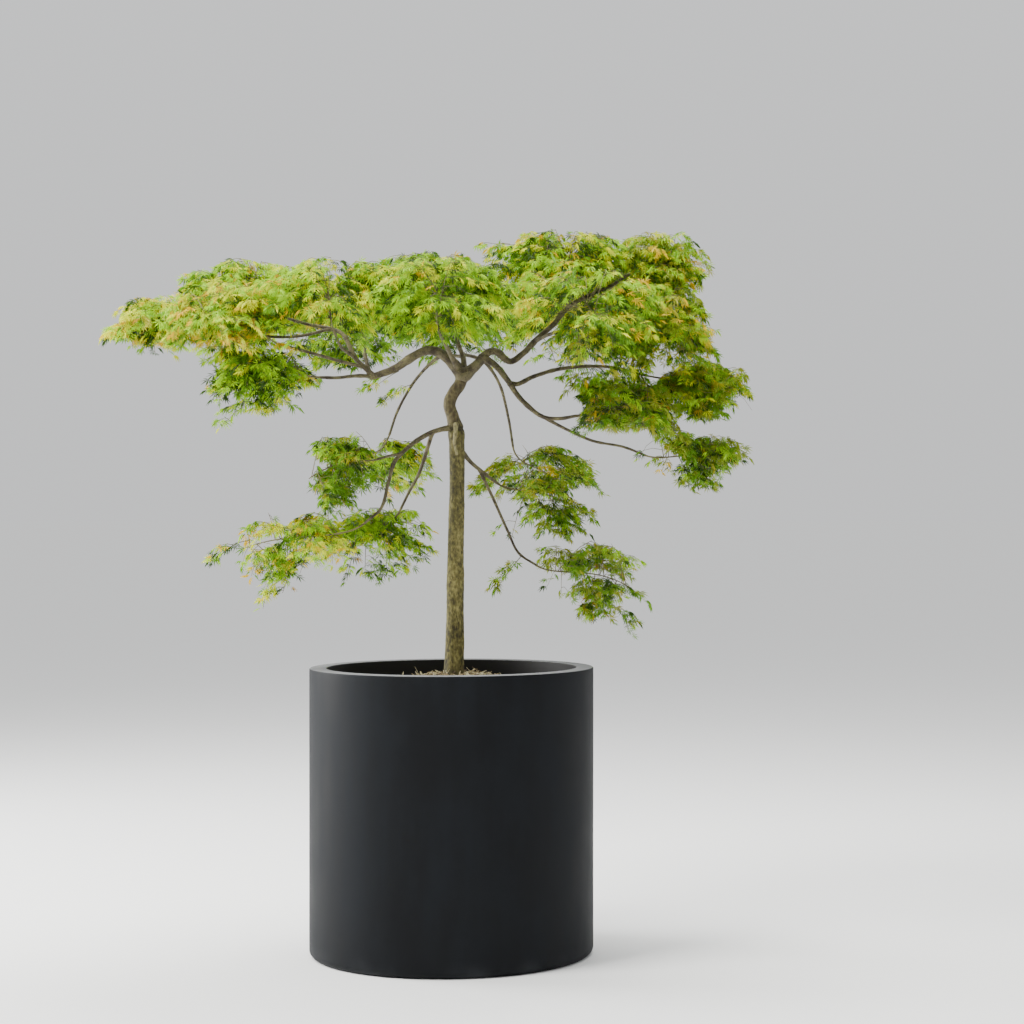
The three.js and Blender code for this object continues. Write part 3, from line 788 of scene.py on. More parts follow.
@dataclass(frozen=True)
class Planter:
    """A tall round planter with a thick flat rim, turned from one profile."""

    diameter: float = 1000.0
    height: float = 1010.0
    rim_width: float = 62.0
    floor: float = 60.0
    foot_fillet: float = 26.0
    rim_fillet: float = 5.0
    sides: int = 288
    foot_steps: int = 12
    rim_steps: int = 7
    outer_rings: int = 30
    inner_rings: int = 12
    underside_rings: tuple[float, float] = (120.0, 360.0)  # these keep its triangles short
    floor_ring: float = 200.0
    uneven: Relief = Relief(260, 0.45, 1)
    uneven_from: tuple[float, float] = (40.0, 120.0)  # heights between which the unevenness starts

    def corner(self, x: float, z: float, radius: float, start: float, steps: int) -> np.ndarray:
        """Points on a quarter circle: x + r cos a and z + r sin a, with a from start on, in degrees."""
        angle = np.radians(np.linspace(start, start + 90, steps))
        return np.stack([x + radius * np.cos(angle), z + radius * np.sin(angle)], -1)

    def wall(self, radius: float, low: float, high: float, steps: int) -> np.ndarray:
        """Points straight up or down a wall, without its ends."""
        height = np.linspace(low, high, steps + 2)[1:-1]
        return np.stack([np.full(steps, radius), height], -1)

    def profile(self) -> np.ndarray:
        """Radius and height from the underside's middle, up the outside, over the rim and down."""
        outer = self.diameter / 2
        inner = outer - self.rim_width
        foot, rim = self.foot_fillet, self.rim_fillet
        top = self.height - rim
        return np.concatenate([
            [[radius, 0] for radius in self.underside_rings],
            self.corner(outer - foot, foot, foot, -90, self.foot_steps),
            self.wall(outer, foot, top, self.outer_rings),
            self.corner(outer - rim, top, rim, 0, self.rim_steps),
            self.corner(inner + rim, top, rim, 90, self.rim_steps),
            self.wall(inner, top, self.floor, self.inner_rings),
            [[inner, self.floor], [self.floor_ring, self.floor]],
        ])

    def build(self) -> None:
        """The planter: point (r cos a, r sin a, z), with a wall a fraction of a millimetre uneven."""
        profile = self.profile()
        angle = angles(self.sides)
        radius, height = profile[:, None, 0], profile[:, None, 1]
        rings = np.stack([radius * np.cos(angle), radius * np.sin(angle), height + 0 * angle], -1)
        uneven = self.uneven.lift(rings) * smoothstep(*self.uneven_from, rings[..., 2])
        rings[..., :2] *= (1 + uneven / self.diameter)[..., None]
        piece = make_piece("planter", *closed_tube(rings), [MatteFibre().material()])
        dress(piece, ["pot"])


@dataclass(frozen=True)
class SoilBed:
    """The soil that fills the planter, heaped a little round the trunk."""

    radius: float = 437.6
    floor: float = 60.4
    edge: float = 935.0
    crown: float = 982.0
    crown_radius: float = 60.5
    mound_radius: float = 330.0
    trunk_x: float = 8.0
    sides: int = 180
    rings: int = 62
    first_ring: float = 6.0
    underside_ring: float = 0.1  # as a share of the radius
    lumps: tuple[Relief, ...] = (Relief(42, 5.5, 3), Relief(15, 2.6, 5))

    def level(self, x: np.ndarray, y: np.ndarray) -> np.ndarray:
        """The soil's height: a mound that eases from crown to edge, with lumps by two noises.

        Args:
            x: places along X.
            y: places along Y.

        Returns:
            The height at each.
        """
        far = np.hypot(x - self.trunk_x, y)
        mound = 1 - smoothstep(self.crown_radius, self.mound_radius, far)
        place = np.stack([x, y, 0 * x], -1)
        return self.edge + (self.crown - self.edge) * mound + sum(lump.lift(place) for lump in self.lumps)

    def build(self) -> None:
        """A closed body: the level over rings of radius r, a straight wall and a flat floor."""
        angle = angles(self.sides)
        radius = np.linspace(self.first_ring, self.radius, self.rings)[::-1, None]
        x, y = radius * np.cos(angle), radius * np.sin(angle)
        top = np.stack([x, y, self.level(x, y)], -1)
        low = np.stack([x[:1], y[:1], np.full_like(x[:1], self.floor)], -1)
        under = low * (self.underside_ring, self.underside_ring, 1.0)
        tube = closed_tube(np.concatenate([under, low, top]))
        dress(make_piece("soil_bed", *tube, [Loam().material()]), ["soil"])


@dataclass(frozen=True)
class Mulch:
    """Straw and chips on the soil: flat slivers, most of them near the trunk."""

    bed: SoilBed
    count: int = 1500
    seed: int = 4211
    nearest: float = 44.0  # to the trunk's middle
    crowding: float = 2.0  # the shape of the gamma curve by which they thin out
    spacing: float = 62.0  # its scale
    stretch: float = 1.05  # along X
    off_edge: float = 30.0
    strewn: tuple[float, float] = (50.0, 330.0)  # where those that fall too far out go
    long: tuple[float, float] = (9.0, 36.0)
    longest: float = 1.7  # times as long are a few
    wide: tuple[float, float] = (1.6, 5.5)
    thick: tuple[float, float] = (0.7, 1.9)
    standing: float = 0.7  # radians that a few stand up by
    few: tuple[float, float] = (0.06, 0.05)  # the share of long ones and of standing ones
    pitch: float = 0.2  # how much the others tilt, in radians
    roll: float = 0.25
    lift: float = 1.4
    stations: tuple[float, ...] = (-0.5, -0.38, 0.3, 0.5)  # of a sliver's rings, along it
    widths: tuple[float, ...] = (0.3, 0.5, 0.5, 0.15)  # half of its width there, as shares
    shares: tuple[float, ...] = (0.5, 0.3, 0.2)  # of the finishes
    finishes: tuple[Straw, ...] = (
        Straw("mulch_straw", (226, 214, 172)),
        Straw("mulch_chip", (178, 156, 112)),
        Straw("mulch_old", (112, 92, 66)),
    )

    def build(self) -> None:
        """Each sliver is turned, tilted and laid on the soil, with four square-cornered rings.

        A ring's corners are middle + way x station + side x width + up x half of the thickness.
        """
        rng = np.random.default_rng(self.seed)
        count = self.count
        turn = rng.uniform(0, 2 * math.pi, count)
        far = self.nearest + rng.gamma(self.crowding, self.spacing, count)
        far = np.where(far > self.bed.radius - self.off_edge, rng.uniform(*self.strewn, count), far)
        x, y = self.bed.trunk_x + far * np.cos(turn) * self.stretch, far * np.sin(turn)
        long = rng.uniform(*self.long, count) * np.where(rng.random(count) < self.few[0], self.longest, 1)
        wide, thick = rng.uniform(*self.wide, count), rng.uniform(*self.thick, count)
        heading = rng.uniform(0, 2 * math.pi, count)
        pitch = rng.normal(0, self.pitch, count)
        pitch = pitch + np.where(rng.random(count) < self.few[1], self.standing, 0)
        level = np.cos(pitch)
        way = np.stack([np.cos(heading) * level, np.sin(heading) * level, np.sin(pitch)], -1)
        side = unit(np.cross(UP, way) + rng.normal(0, self.roll, (count, 3)) * UP)
        up = unit(np.cross(way, side))
        height = self.bed.level(x, y) + self.lift + 0.5 * long * np.abs(np.sin(pitch))
        middle = np.stack([x, y, height], -1)
        square = np.array([[-1, -1], [1, -1], [1, 1], [-1, 1]])
        lengthwise = np.array(self.stations)[:, None] * long[:, None, None]
        sideways = np.array(self.widths)[:, None] * square[:, 0] * wide[:, None, None]
        upwards = 0.5 * square[:, 1] * thick[:, None, None]
        rings = (
            middle[:, None, None]
            + way[:, None, None] * lengthwise[..., None]
            + side[:, None, None] * sideways[..., None]
            + up[:, None, None] * upwards[..., None]
        )
        points, triangles = closed_tubes(rings)
        kinds = np.repeat(rng.choice(len(self.shares), count, p=self.shares), len(triangles) // count)
        finishes = [finish.material() for finish in self.finishes]
        dress(make_piece("mulch", points, triangles, finishes, kinds, False), ["soil"])


# The trunk and the boughs

END_ANGLES = (75, 50, 25)  # degrees over the last ring, of the smaller ones that round an end


def tube_rings(
    line: Points, ways: Points, radius: np.ndarray, sides: int
) -> tuple[np.ndarray, np.ndarray]:
    """Rings round a line, and past its ends smaller rings on a quarter circle that round them.

    Args:
        line: points down the middle.
        ways: unit tangents there.
        radius: the radius at each point.
        sides: points in a ring.

    Returns:
        The rings, and each ring point's direction out from the line.
    """
    ends = np.radians(END_ANGLES)
    before = line[0] - ways[0] * (radius[0] * np.sin(ends))[:, None]
    after = line[-1] + ways[-1] * (radius[-1] * np.sin(ends[::-1]))[:, None]
    line = np.concatenate([before, line, after])
    radius = np.concatenate([radius[0] * np.cos(ends), radius, radius[-1] * np.cos(ends[::-1])])
    more = len(ends)
    ways = np.concatenate([np.repeat(ways[:1], more, 0), ways, np.repeat(ways[-1:], more, 0)])
    spread = np.linalg.svd(ways, full_matrices=False)[2][-1]
    across = unit(spread - (ways @ spread)[:, None] * ways)
    other = np.cross(ways, across)
    angle = angles(sides)[:, None]
    out = np.cos(angle) * across[:, None] + np.sin(angle) * other[:, None]
    return line[:, None] + out * radius[:, None, None], out


@dataclass(frozen=True)
class Trunk:
    """The trunk with its bark's relief: root lobes, a seam at the graft, knots and furrows."""

    stations: tuple[tuple[float, float, float, float], ...] = (  # x, y, z and radius
        (7, 0, 968, 35), (8, 0, 1022, 34), (10, 0, 1110, 32.6), (11.4, 0, 1250, 31),
        (13, 0, 1390, 29), (18, 0, 1670, 27.2), (18, 0, 1780, 27.6), (14, 0, 1848, 29),
        (2, 0, 1895, 22), (-9, 0, 1938, 22), (6, 0, 1980, 21.5), (28, 0, 2012, 21.5),
        (37, 0, 2050, 20))
    step: float = 3.0
    sides: int = 72
    smoothing: int = 11  # steps to either side that the radius is smoothed over
    soil: float = 985.0
    roots: int = 4
    root_fade: float = 40.0  # height over the soil in which the root lobes fade
    root_lift: float = 0.3
    root_wave: float = 1.4
    root_phase: float = 0.8
    seam_waves: tuple[tuple[float, int, float], ...] = ((5.0, 1, 0.6), (2.5, 3, 0.0))
    seam_bells: tuple[tuple[float, float, float], ...] = (
        (-3.4, 0.0, 3.2), (2.2, -20.0, 16.0), (1.6, 13.0, 9.0))
    knots: Relief = Relief((34, 34, 48), 1.9, 8)
    furrows: Relief = Relief((7, 7, 17), -0.9, 11)
    grain: Relief = Relief(4.6, 0.45, 13)
    wave: Relief = Relief((60, 60, 110), 1.3, 17)
    scion_roughness: float = 0.6  # of the furrows above the graft
    tongue: tuple[Place, ...] = ((14, -25, 1866), (12, -31, 1840), (10, -29, 1800), (17, -27, 1762))
    tongue_radii: tuple[float, float] = (9.0, 4.5)
    tongue_steps: int = 60
    tongue_sides: int = 28
    tongue_relief: Relief = Relief((6, 6, 22), 0.7, 23)

    def radius(self, line: Points) -> np.ndarray:
        """The radius by height, straight between the stations and then smoothed.

        Args:
            line: points down the trunk's middle.

        Returns:
            The radius at each.
        """
        table = np.array(self.stations)
        radius = np.interp(line[:, 2], table[:, 2], table[:, 3])
        window = np.hanning(2 * self.smoothing + 1)
        padded = np.pad(radius, self.smoothing, mode="edge")
        return np.convolve(padded, window / window.sum(), mode="valid")

    def seam(self, height: np.ndarray, angle: np.ndarray) -> np.ndarray:
        """The graft's groove, with a swelling under it and a smaller one over it.

        Each is a bell curve of a lift, a middle and a width, by the height over a line that
        wanders round the trunk in sine waves of a rise, a number round it and a phase.

        Args:
            height: each point's height.
            angle: its angle round the trunk.

        Returns:
            Its lift.
        """
        wander = sum(rise * np.sin(waves * angle + phase) for rise, waves, phase in self.seam_waves)
        over = height - (GRAFT + wander)
        bells = self.seam_bells
        return sum(lift * np.exp(-(((over - middle) / wide) ** 2)) for lift, middle, wide in bells)

    def build(self) -> None:
        """The trunk: rings along the stations' curve, each point lifted by the sum of the reliefs."""
        path = catmull_rom(np.array(self.stations)[:, :3])
        line, ways, _ = evenly(path, int(evenly(path, 9)[2] / self.step))
        rings, out = tube_rings(line, ways, self.radius(line), self.sides)
        height = rings[..., 2]
        angle = np.arctan2(out[..., 1], out[..., 0])
        fade = np.exp(-np.clip(height - self.soil, 0, None) / self.root_fade)
        lobes = fade * (self.root_lift + self.root_wave * np.cos(self.roots * angle + self.root_phase))
        rough = self.furrows.humps(rings) + self.grain.lift(rings)
        rough = rough * np.where(height < GRAFT, 1.0, self.scion_roughness)
        lift = lobes + self.seam(height, angle) + self.knots.humps(rings, 2) + self.wave.lift(rings) + rough
        tube = closed_tube(rings + out * lift[..., None])
        dress(make_piece("trunk_bark", *tube, [StemBark().material()]), ["trunk"])

    def build_tongue(self) -> None:
        """A healed strip of paler bark that hangs from the graft, set into the trunk."""
        line, ways, _ = evenly(catmull_rom(np.array(self.tongue, float)), self.tongue_steps)
        rings, out = tube_rings(line, ways, np.linspace(*self.tongue_radii, len(line)), self.tongue_sides)
        tube = closed_tube(rings + out * self.tongue_relief.lift(rings)[..., None])
        pale, deep = (150, 142, 100), (104, 96, 64)
        finish = StemBark("tongue_bark", deep, pale, (186, 178, 134), pale, pale, (74, 66, 46), graft=9.0)
        dress(make_piece("bark_tongue", *tube, [finish.material()]), ["trunk"])


@dataclass(frozen=True)
class Limb:
    """A tapering limb along a curve, with a collar at its foot and low knuckles."""

    line: Points
    start: float
    end: float
    seed: int
    step: float = 7.0
    least_steps: int = 8
    stout: float = 8.0  # a foot's radius over which a limb has more sides
    sides: tuple[int, int] = (16, 10)  # of a stout limb and of a slim one
    collar: float = 0.34
    collar_fade: float = 1.5  # in radii of the foot
    knuckle: float = 0.13
    knuckle_spacing: float = 11.0  # in millimetres to a radian, besides the foot's radius
    knuckle_sharpness: int = 6
    relief: tuple[tuple[float, float], ...] = ((16, 0.07), (5, 0.035))  # cells, shares of the radius
    relief_step: int = 40  # between the seeds of its noises

    def shape(self) -> tuple[Points, Triangles]:
        """Its radius falls evenly along it, times 1 + the collar and knuckles; noises roughen it."""
        start, end = self.start, self.end
        length = evenly(self.line, 9)[2]
        line, ways, _ = evenly(self.line, max(self.least_steps, int(length / self.step)))
        along = np.linspace(0, length, len(line))
        radius = start + (end - start) * along / length
        radius = radius * (1 + self.collar * np.exp(-along / (self.collar_fade * start)))
        waves = np.sin(along / (self.knuckle_spacing + start) + self.seed)
        knuckles = np.clip(waves, 0, 1) ** self.knuckle_sharpness
        sides = self.sides[0] if start > self.stout else self.sides[1]
        rings, out = tube_rings(line, ways, radius * (1 + self.knuckle * knuckles), sides)
        rough = sum(
            share * lattice_noise(rings, size, self.seed + self.relief_step * number)
            for number, (size, share) in enumerate(self.relief)
        )
        return closed_tube(rings + out * (rough * np.linspace(start, end, len(rings))[:, None])[..., None])


@dataclass(frozen=True)
class Framework:
    """The boughs that carry the crown, with their bark."""

    bark: LimbBark = LimbBark()

    def build(self) -> None:
        """Every bough, joined into one piece."""
        boughs = enumerate(BOUGHS.values())
        limbs = [Limb(bough.curve(), bough.start, bough.end, number).shape() for number, bough in boughs]
        piece = make_piece("bough_bark", *joined(limbs), [self.bark.material()])
        dress(piece, ["bough_" + name for name in BOUGHS])


# The foliage


class Stream:
    """A stream of numbers from 0 to 1 by the source's own rule, the same on every run."""

    def __init__(self, seed: int) -> None:
        """Starts the stream at a seed."""
        self.state = seed & 0xFFFFFFFF

    def next(self) -> float:
        """The next number: state x 1664525 + 1013904223, kept to 32 bits and divided by 2 to the 32."""
        self.state = (self.state * 1664525 + 1013904223) & 0xFFFFFFFF
        return self.state / 4294967296


@dataclass
class Foliage:
    """Leaves and twigs of some masses, gathered before they are joined."""

    twigs: list[np.ndarray] = field(default_factory=list)  # control points of curves
    thickness: list[np.ndarray] = field(default_factory=list)  # radius at foot and tip
    root: list[np.ndarray] = field(default_factory=list)  # the feet of the leaves' stalks
    way: list[np.ndarray] = field(default_factory=list)  # unit vectors along the leaves
    face: list[np.ndarray] = field(default_factory=list)  # unit vectors that they face
    size: list[np.ndarray] = field(default_factory=list)  # their middle lobes' lengths
    shade: list[np.ndarray] = field(default_factory=list)  # their materials' slots

    def add_twigs(self, curves: np.ndarray, foot: float, tip: float) -> None:
        """Adds curves with one radius at the foot and one at the tip."""
        self.twigs.append(curves)
        self.thickness.append(np.tile([foot, tip], (len(curves), 1)))

    def add_leaves(self, keep: np.ndarray, **rows: np.ndarray) -> None:
        """Adds the kept rows of each of the leaves' lists."""
        for name, values in rows.items():
            getattr(self, name).append(values[keep])


@dataclass(frozen=True)
class Posture:
    """How a leaf holds itself, and the share of the leaves that do."""

    droop: float  # how far a tip hangs
    fold: float  # how high a lobe's edges stand, as a share of its length
    gather: float  # how far the lobes close towards the middle one, from 0 to 1
    share: float


@dataclass(frozen=True)
class LeafCut:
    """A hand-shaped leaf: pointed lobes of two triangles that hang, on a thin stalk.

    Each lobe leans a little to one side or the other, so that it catches its own light.
    """

    turns: tuple[float, ...] = (-104, -66, -33, 0, 33, 66, 104)  # of the lobes, in degrees
    lengths: tuple[float, ...] = (0.42, 0.72, 0.93, 1.0, 0.93, 0.72, 0.42)
    rolls: tuple[float, ...] = (0.05, -0.03, 0.045, -0.015, -0.045, 0.035, -0.05)  # the leans
    narrow: float = 0.072  # half a lobe's width as a share of its length
    widest: float = 0.46  # how far along a lobe it is widest
    stalk: float = 0.42
    stalk_half: float = 0.014
    postures: tuple[Posture, ...] = (
        Posture(0.22, 0.03, 0.0, 0.32), Posture(0.42, 0.05, 0.14, 0.28),
        Posture(0.1, 0.02, -0.06, 0.2), Posture(0.6, 0.04, 0.28, 0.2))

    def shape(self, posture: Posture) -> tuple[Points, Triangles]:
        """The leaf on its own axes: along its way, aside, and up from its face.

        A lobe runs out from the stalk's end at its turn; its height is -droop times the
        square of the distance out, and its edges lie a fold above its rib, plus or minus
        its roll.

        Args:
            posture: its droop, fold and gather.

        Returns:
            Points with the stalk's foot at the origin, and triangles.
        """
        turn = np.radians(np.array(self.turns)) * (1 - posture.gather)
        length, roll = np.array(self.lengths), np.array(self.rolls)
        ahead = np.stack([np.cos(turn), np.sin(turn)], -1)
        aside = np.stack([-np.sin(turn), np.cos(turn)], -1)
        middle = ahead * (length * self.widest)[:, None] + (self.stalk, 0)
        half = aside * (length * self.narrow)[:, None]
        flat = [middle + half, middle - half, ahead * length[:, None] + (self.stalk, 0)]
        hang = posture.droop * (length * self.widest) ** 2
        heights = [(posture.fold + roll) * length - hang, (posture.fold - roll) * length - hang,
                   -posture.droop * length**2]
        corners = [np.concatenate([spot, high[:, None]], 1) for spot, high in zip(flat, heights)]
        stalk = [[0, self.stalk_half, 0], [0, -self.stalk_half, 0], [self.stalk, 0, 0]]
        points = np.concatenate([stalk, np.stack(corners, 1).reshape(-1, 3)])
        left = len(stalk) + 3 * np.arange(len(turn))
        hub = np.full_like(left, 2)
        lobes = [np.stack([hub, left + 2, left], 1), np.stack([hub, left + 1, left + 2], 1)]
        return points, np.concatenate([*lobes, [[0, 1, 2]]])


@dataclass(frozen=True)
class Space:
    """The space that one mass's foliage may fill.

    It ends at a depth that wanders by a noise. Between two masses the depth may be larger, as
    long as both are near, so that the crown closes there. A noise of flat cells that fall
    outwards parts the foliage into layers, and the space round a mass's trailing twigs counts
    as its own.
    """

    name: str
    wander: Relief = Relief(95, 0.16, 31)
    steady_above: float = 1900.0  # a mass whose middle is lower wanders twice as far
    bridge: float = 1.5  # the most depth in either mass where foliage joins the two
    bridge_sum: float = 2.62  # and the most of both depths together
    overlap: float = 0.25  # how much nearer to another mass a point may be
    layers: Relief = Relief((150, 150, 56), 1.0, 56)
    open_below: float = -0.34  # the crown is open where the layers' noise is lower
    whole_above: float = 0.3  # of the reach: higher up, a mass has no layers
    low_layers: Relief = Relief((180, 180, 62), 1.0, 47)  # low masses are sparser
    low_open_below: float = -0.11
    layer_axis: float = 40.0  # the place along X from which layers fall away
    layer_fall: float = 0.4
    trail: float = 62.0  # how far from a trailing twig its leaves may be
    trail_steps: int = 12
    past_box: float = 26.0  # how far a leaf may reach past the source's box

    def holds(self, points: Points, most: float) -> np.ndarray:
        """Whether points may carry foliage.

        Args:
            points: rows of x, y, z.
            most: the depth at which the space ends.

        Returns:
            True or False for each point.
        """
        mass = MASSES[self.name]
        own = mass.depth(points)
        others = np.min([other.depth(points) for name, other in MASSES.items() if name != self.name], 0)
        ragged = 1 if mass.middle[2] > self.steady_above else 2
        inside = own <= most + ragged * self.wander.lift(points)
        between = (own <= self.bridge) & (others <= self.bridge) & (own + others <= self.bridge_sum)
        out = np.hypot(points[:, 0] - self.layer_axis, points[:, 1])
        lifted = points + self.layer_fall * out[:, None] * UP
        if mass.is_low:
            inside = (inside | between) & (self.low_layers.noise(lifted) > self.low_open_below)
        else:
            whole = points[:, 2] > mass.middle[2] + self.whole_above * mass.reach[2]
            inside = (inside & (whole | (self.layers.noise(lifted) > self.open_below))) | between
        inside &= own < others + self.overlap
        for low, high in OPEN_SPACES:
            inside &= ~np.all((points > low) & (points < high), axis=-1)
        shares = np.linspace(0, 1, self.trail_steps)[None]
        for curve in TRAILING.get(self.name, ()):
            line = bezier(np.array([curve], float), shares)[0][0]
            inside |= (np.linalg.norm(points[:, None] - line, axis=-1) < self.trail).any(1)
        low, high = np.array([list(corner) for corner in CAD_BOX]) / MM
        return inside & np.all((points > low - self.past_box) & (points < high + self.past_box), axis=-1)


class ShownLimbs:
    """The limbs that the photograph shows through the crown, as the camera sees them."""

    def __init__(self, clear: float = 17.0, before: float = 8.0, steps: int = 60) -> None:
        """Lays out each limb as far as it shows.

        Args:
            clear: what is kept free beside a limb.
            before: how much nearer than a limb a leaf stands that hides it.
            steps: points along a whole limb.
        """
        self.clear, self.before = clear, before
        rows = []
        for name, share in SHOWN_LIMBS.items():
            bough = BOUGHS[name]
            line = evenly(bough.curve(), steps)[0][: int(steps * share)]
            thick = np.linspace(bough.start, bough.end, steps)[: len(line), None]
            rows.append(np.concatenate([line, thick], 1))
        limbs = np.concatenate(rows)
        self.radius = limbs[:, 3]
        self.across, self.up, self.away = self.seen(limbs)

    def seen(self, points: Points) -> tuple[np.ndarray, np.ndarray, np.ndarray]:
        """How far across, up and away points lie: x / away, (z - eye height) / away and away."""
        away = points[:, 1] + Studio().distance / MM
        return points[:, 0] / away, (points[:, 2] - Studio().eye / MM) / away, away

    def hidden_by(self, points: Points) -> np.ndarray:
        """Whether points stand before a limb, within its radius and what is kept free.

        Args:
            points: rows of x, y, z.

        Returns:
            True or False for each point.
        """
        across, up, away = self.seen(points)
        gap = np.hypot(across[:, None] - self.across, up[:, None] - self.up)
        near = gap * self.away < self.radius + self.clear
        return (near & (away[:, None] < self.away - self.before)).any(1)


@dataclass(frozen=True)
class TwigRule:
    """Twigs that a seeded stream of numbers sets along a mass's stem, as in the source."""

    seed: int
    count: int
    fill: float  # how far out they end, as a share of the reach
    tiers: tuple[float, ...]  # the levels that they aim at, in turn
    arch: float  # their rise, as a share of their length


@dataclass(frozen=True)
class Twigs:
    """The twigs of one mass: the source's own, and more of them between."""

    name: str
    seed: int = 7919
    rule_step: int = 101  # between the seeds of one mass and the next
    joining_step: int = 13
    rules: tuple[TwigRule, ...] = (
        TwigRule(0, 6, 0.68, (0.55, -0.2, -0.8), 0.22),
        TwigRule(57, 16, 0.88, (0.9, -0.35, 0.35, -0.95, 0.7), 0.1),
    )
    first_turn: float = 2.5  # from the stem's way, in radians
    last_turn: float = 0.4
    turn_spread: float = 0.5
    tier_spread: float = 0.24
    stem_share: tuple[float, float] = (0.2, 0.98)  # the part of the stem that carries twigs
    stem_steps: int = 96
    shorter: tuple[float, ...] = (1.0, 0.8, 0.6)  # lengths that are tried, to end in the space
    joining: int = 4  # twigs to each neighbouring mass
    joining_depth: float = 1.3  # of the point halfway to a neighbour
    joining_spread: tuple[Place, Place] = ((-0.42, -0.42, -0.35), (0.42, 0.42, 0.85))
    joining_end: float = 1.05  # the most depth at which one ends
    joining_arch: float = 0.13
    joining_from: int = 20  # the first step of the stem that carries one
    crest: tuple[Place, ...] = ((0.3, 0.0, 0.84), (-0.15, 0.26, 0.86), (-0.15, -0.26, 0.82))
    outer_steps: tuple[tuple[int, int, int], ...] = ((26, 38, 50), (50, 62, 74), (74, 85, 96))
    stem_over: float = 0.4  # how far the stem runs on straight, and rises over the middle
    stem_out: float = 0.6  # how far past the middle it ends
    stem_down: float = 0.1

    def number(self) -> int:
        """The mass's place in the table, which its seeds depend on."""
        return list(MASSES).index(self.name)

    def stem(self) -> tuple[Points, np.ndarray]:
        """The mass's stem: a cubic Bezier on from its bough's tip, over its middle and out.

        Returns:
            Points along the stem, and its level direction outwards.
        """
        mass = MASSES[self.name]
        bough = BOUGHS[mass.on].curve()
        middle, reach = np.array(mass.middle, float), np.array(mass.reach, float)
        start, way = bough[-1], unit(bough[-1] - bough[-2])
        out = unit((middle - start) * LEVEL)
        across = 1 / np.hypot(out[0] / reach[0], out[1] / reach[1])
        length = np.linalg.norm(middle - start)
        on = start + way * self.stem_over * length
        over = middle + self.stem_over * reach[2] * UP
        end = middle + out * self.stem_out * across - self.stem_down * reach[2] * UP
        t = np.linspace(0, 1, 49)[:, None]
        shares = [(1 - t) ** 3, 3 * t * (1 - t) ** 2, 3 * t**2 * (1 - t), t**3]
        return sum(share * point for share, point in zip(shares, (start, on, over, end))), out

    def by_rule(self, rule: TwigRule, stem: Points, out: np.ndarray) -> list[list[np.ndarray]]:
        """Twigs by one rule.

        A twig leaves the stem at a station for a target on one tier of the space, at a turn
        from the stem's way, and arches over on a quadratic Bezier curve.

        Args:
            rule: the rule.
            stem: points along the stem, at even distances.
            out: its level direction outwards.

        Returns:
            The start, bend and end of each.
        """
        mass = MASSES[self.name]
        stream = Stream(self.seed + rule.seed + self.rule_step * self.number())
        first, last = self.stem_share
        found = []
        for i in range(rule.count):
            along = (i + 0.5) / rule.count
            lean = self.first_turn + (self.last_turn - self.first_turn) * along
            turn = (lean + self.turn_spread * (stream.next() - 0.5)) * (1 if i % 2 else -1)
            tier = rule.tiers[i % len(rule.tiers)] + self.tier_spread * (stream.next() - 0.5)
            wide = math.sqrt(max(0.0, 1 - tier * tier))
            heading = math.atan2(out[1], out[0]) + turn
            start = stem[round((first + (last - first) * along) * self.stem_steps)]
            aim = np.array([wide * math.cos(heading), wide * math.sin(heading), tier])
            target = np.array(mass.middle) + np.array(mass.reach) * rule.fill * aim
            for share in self.shorter:
                end = start + (target - start) * share
                if Space(self.name).holds(end[None], 1.0)[0]:
                    rise = 2 * rule.arch * np.linalg.norm(end - start)
                    found.append([start, (start + end) / 2 + rise * UP, end])
                    break
        return found

    def joining_twigs(self, stem: Points) -> np.ndarray:
        """Twigs towards the mass's neighbours, which close the crown between them.

        Each aims at the point halfway between the two middles, moved by a random share of the
        reach, and more up than down. It leaves the stem at the point nearest to its aim. In
        the upper crown three more close the top over the stem.

        Args:
            stem: points along the stem.

        Returns:
            Control points, twigs by three by x, y, z.
        """
        mass = MASSES[self.name]
        rng = np.random.default_rng(self.seed + self.joining_step * self.number())
        middle, reach = np.array(mass.middle, float), np.array(mass.reach, float)
        aims = [middle + reach * self.crest] if mass.is_upper else []
        for name, other in MASSES.items():
            halfway = (middle + other.middle) / 2
            if name != self.name and max(mass.depth(halfway), other.depth(halfway)) < self.joining_depth:
                aims.append(halfway + rng.uniform(*self.joining_spread, (self.joining, 3)) * reach)
        if not aims:
            return np.zeros((0, 3, 3))
        aim = np.concatenate(aims)
        aim = aim[Space(self.name).holds(aim, self.joining_end)]
        usable = stem[self.joining_from :]
        start = usable[np.linalg.norm(aim[:, None] - usable, axis=-1).argmin(1)]
        rise = self.joining_arch * np.linalg.norm(aim - start, axis=1)
        return np.stack([start, (start + aim) / 2 + rise[:, None] * UP, aim], 1)

    def curves(self) -> np.ndarray:
        """All twigs of the mass, with its trailing ones and, unless it is low, its outer stem.

        Returns:
            Control points, twigs by three by x, y, z.
        """
        line, out = self.stem()
        stem = evenly(line, self.stem_steps + 1)[0]
        found = [twig for rule in self.rules for twig in self.by_rule(rule, stem, out)]
        trailing = np.array(TRAILING.get(self.name, np.zeros((0, 3, 3))), float)
        found = np.concatenate([found, self.joining_twigs(stem), trailing])
        if MASSES[self.name].is_low:
            return found
        first, middle, last = (stem[list(steps)] for steps in zip(*self.outer_steps))
        return np.concatenate([found, np.stack([first, 2 * middle - (first + last) / 2, last], 1)])


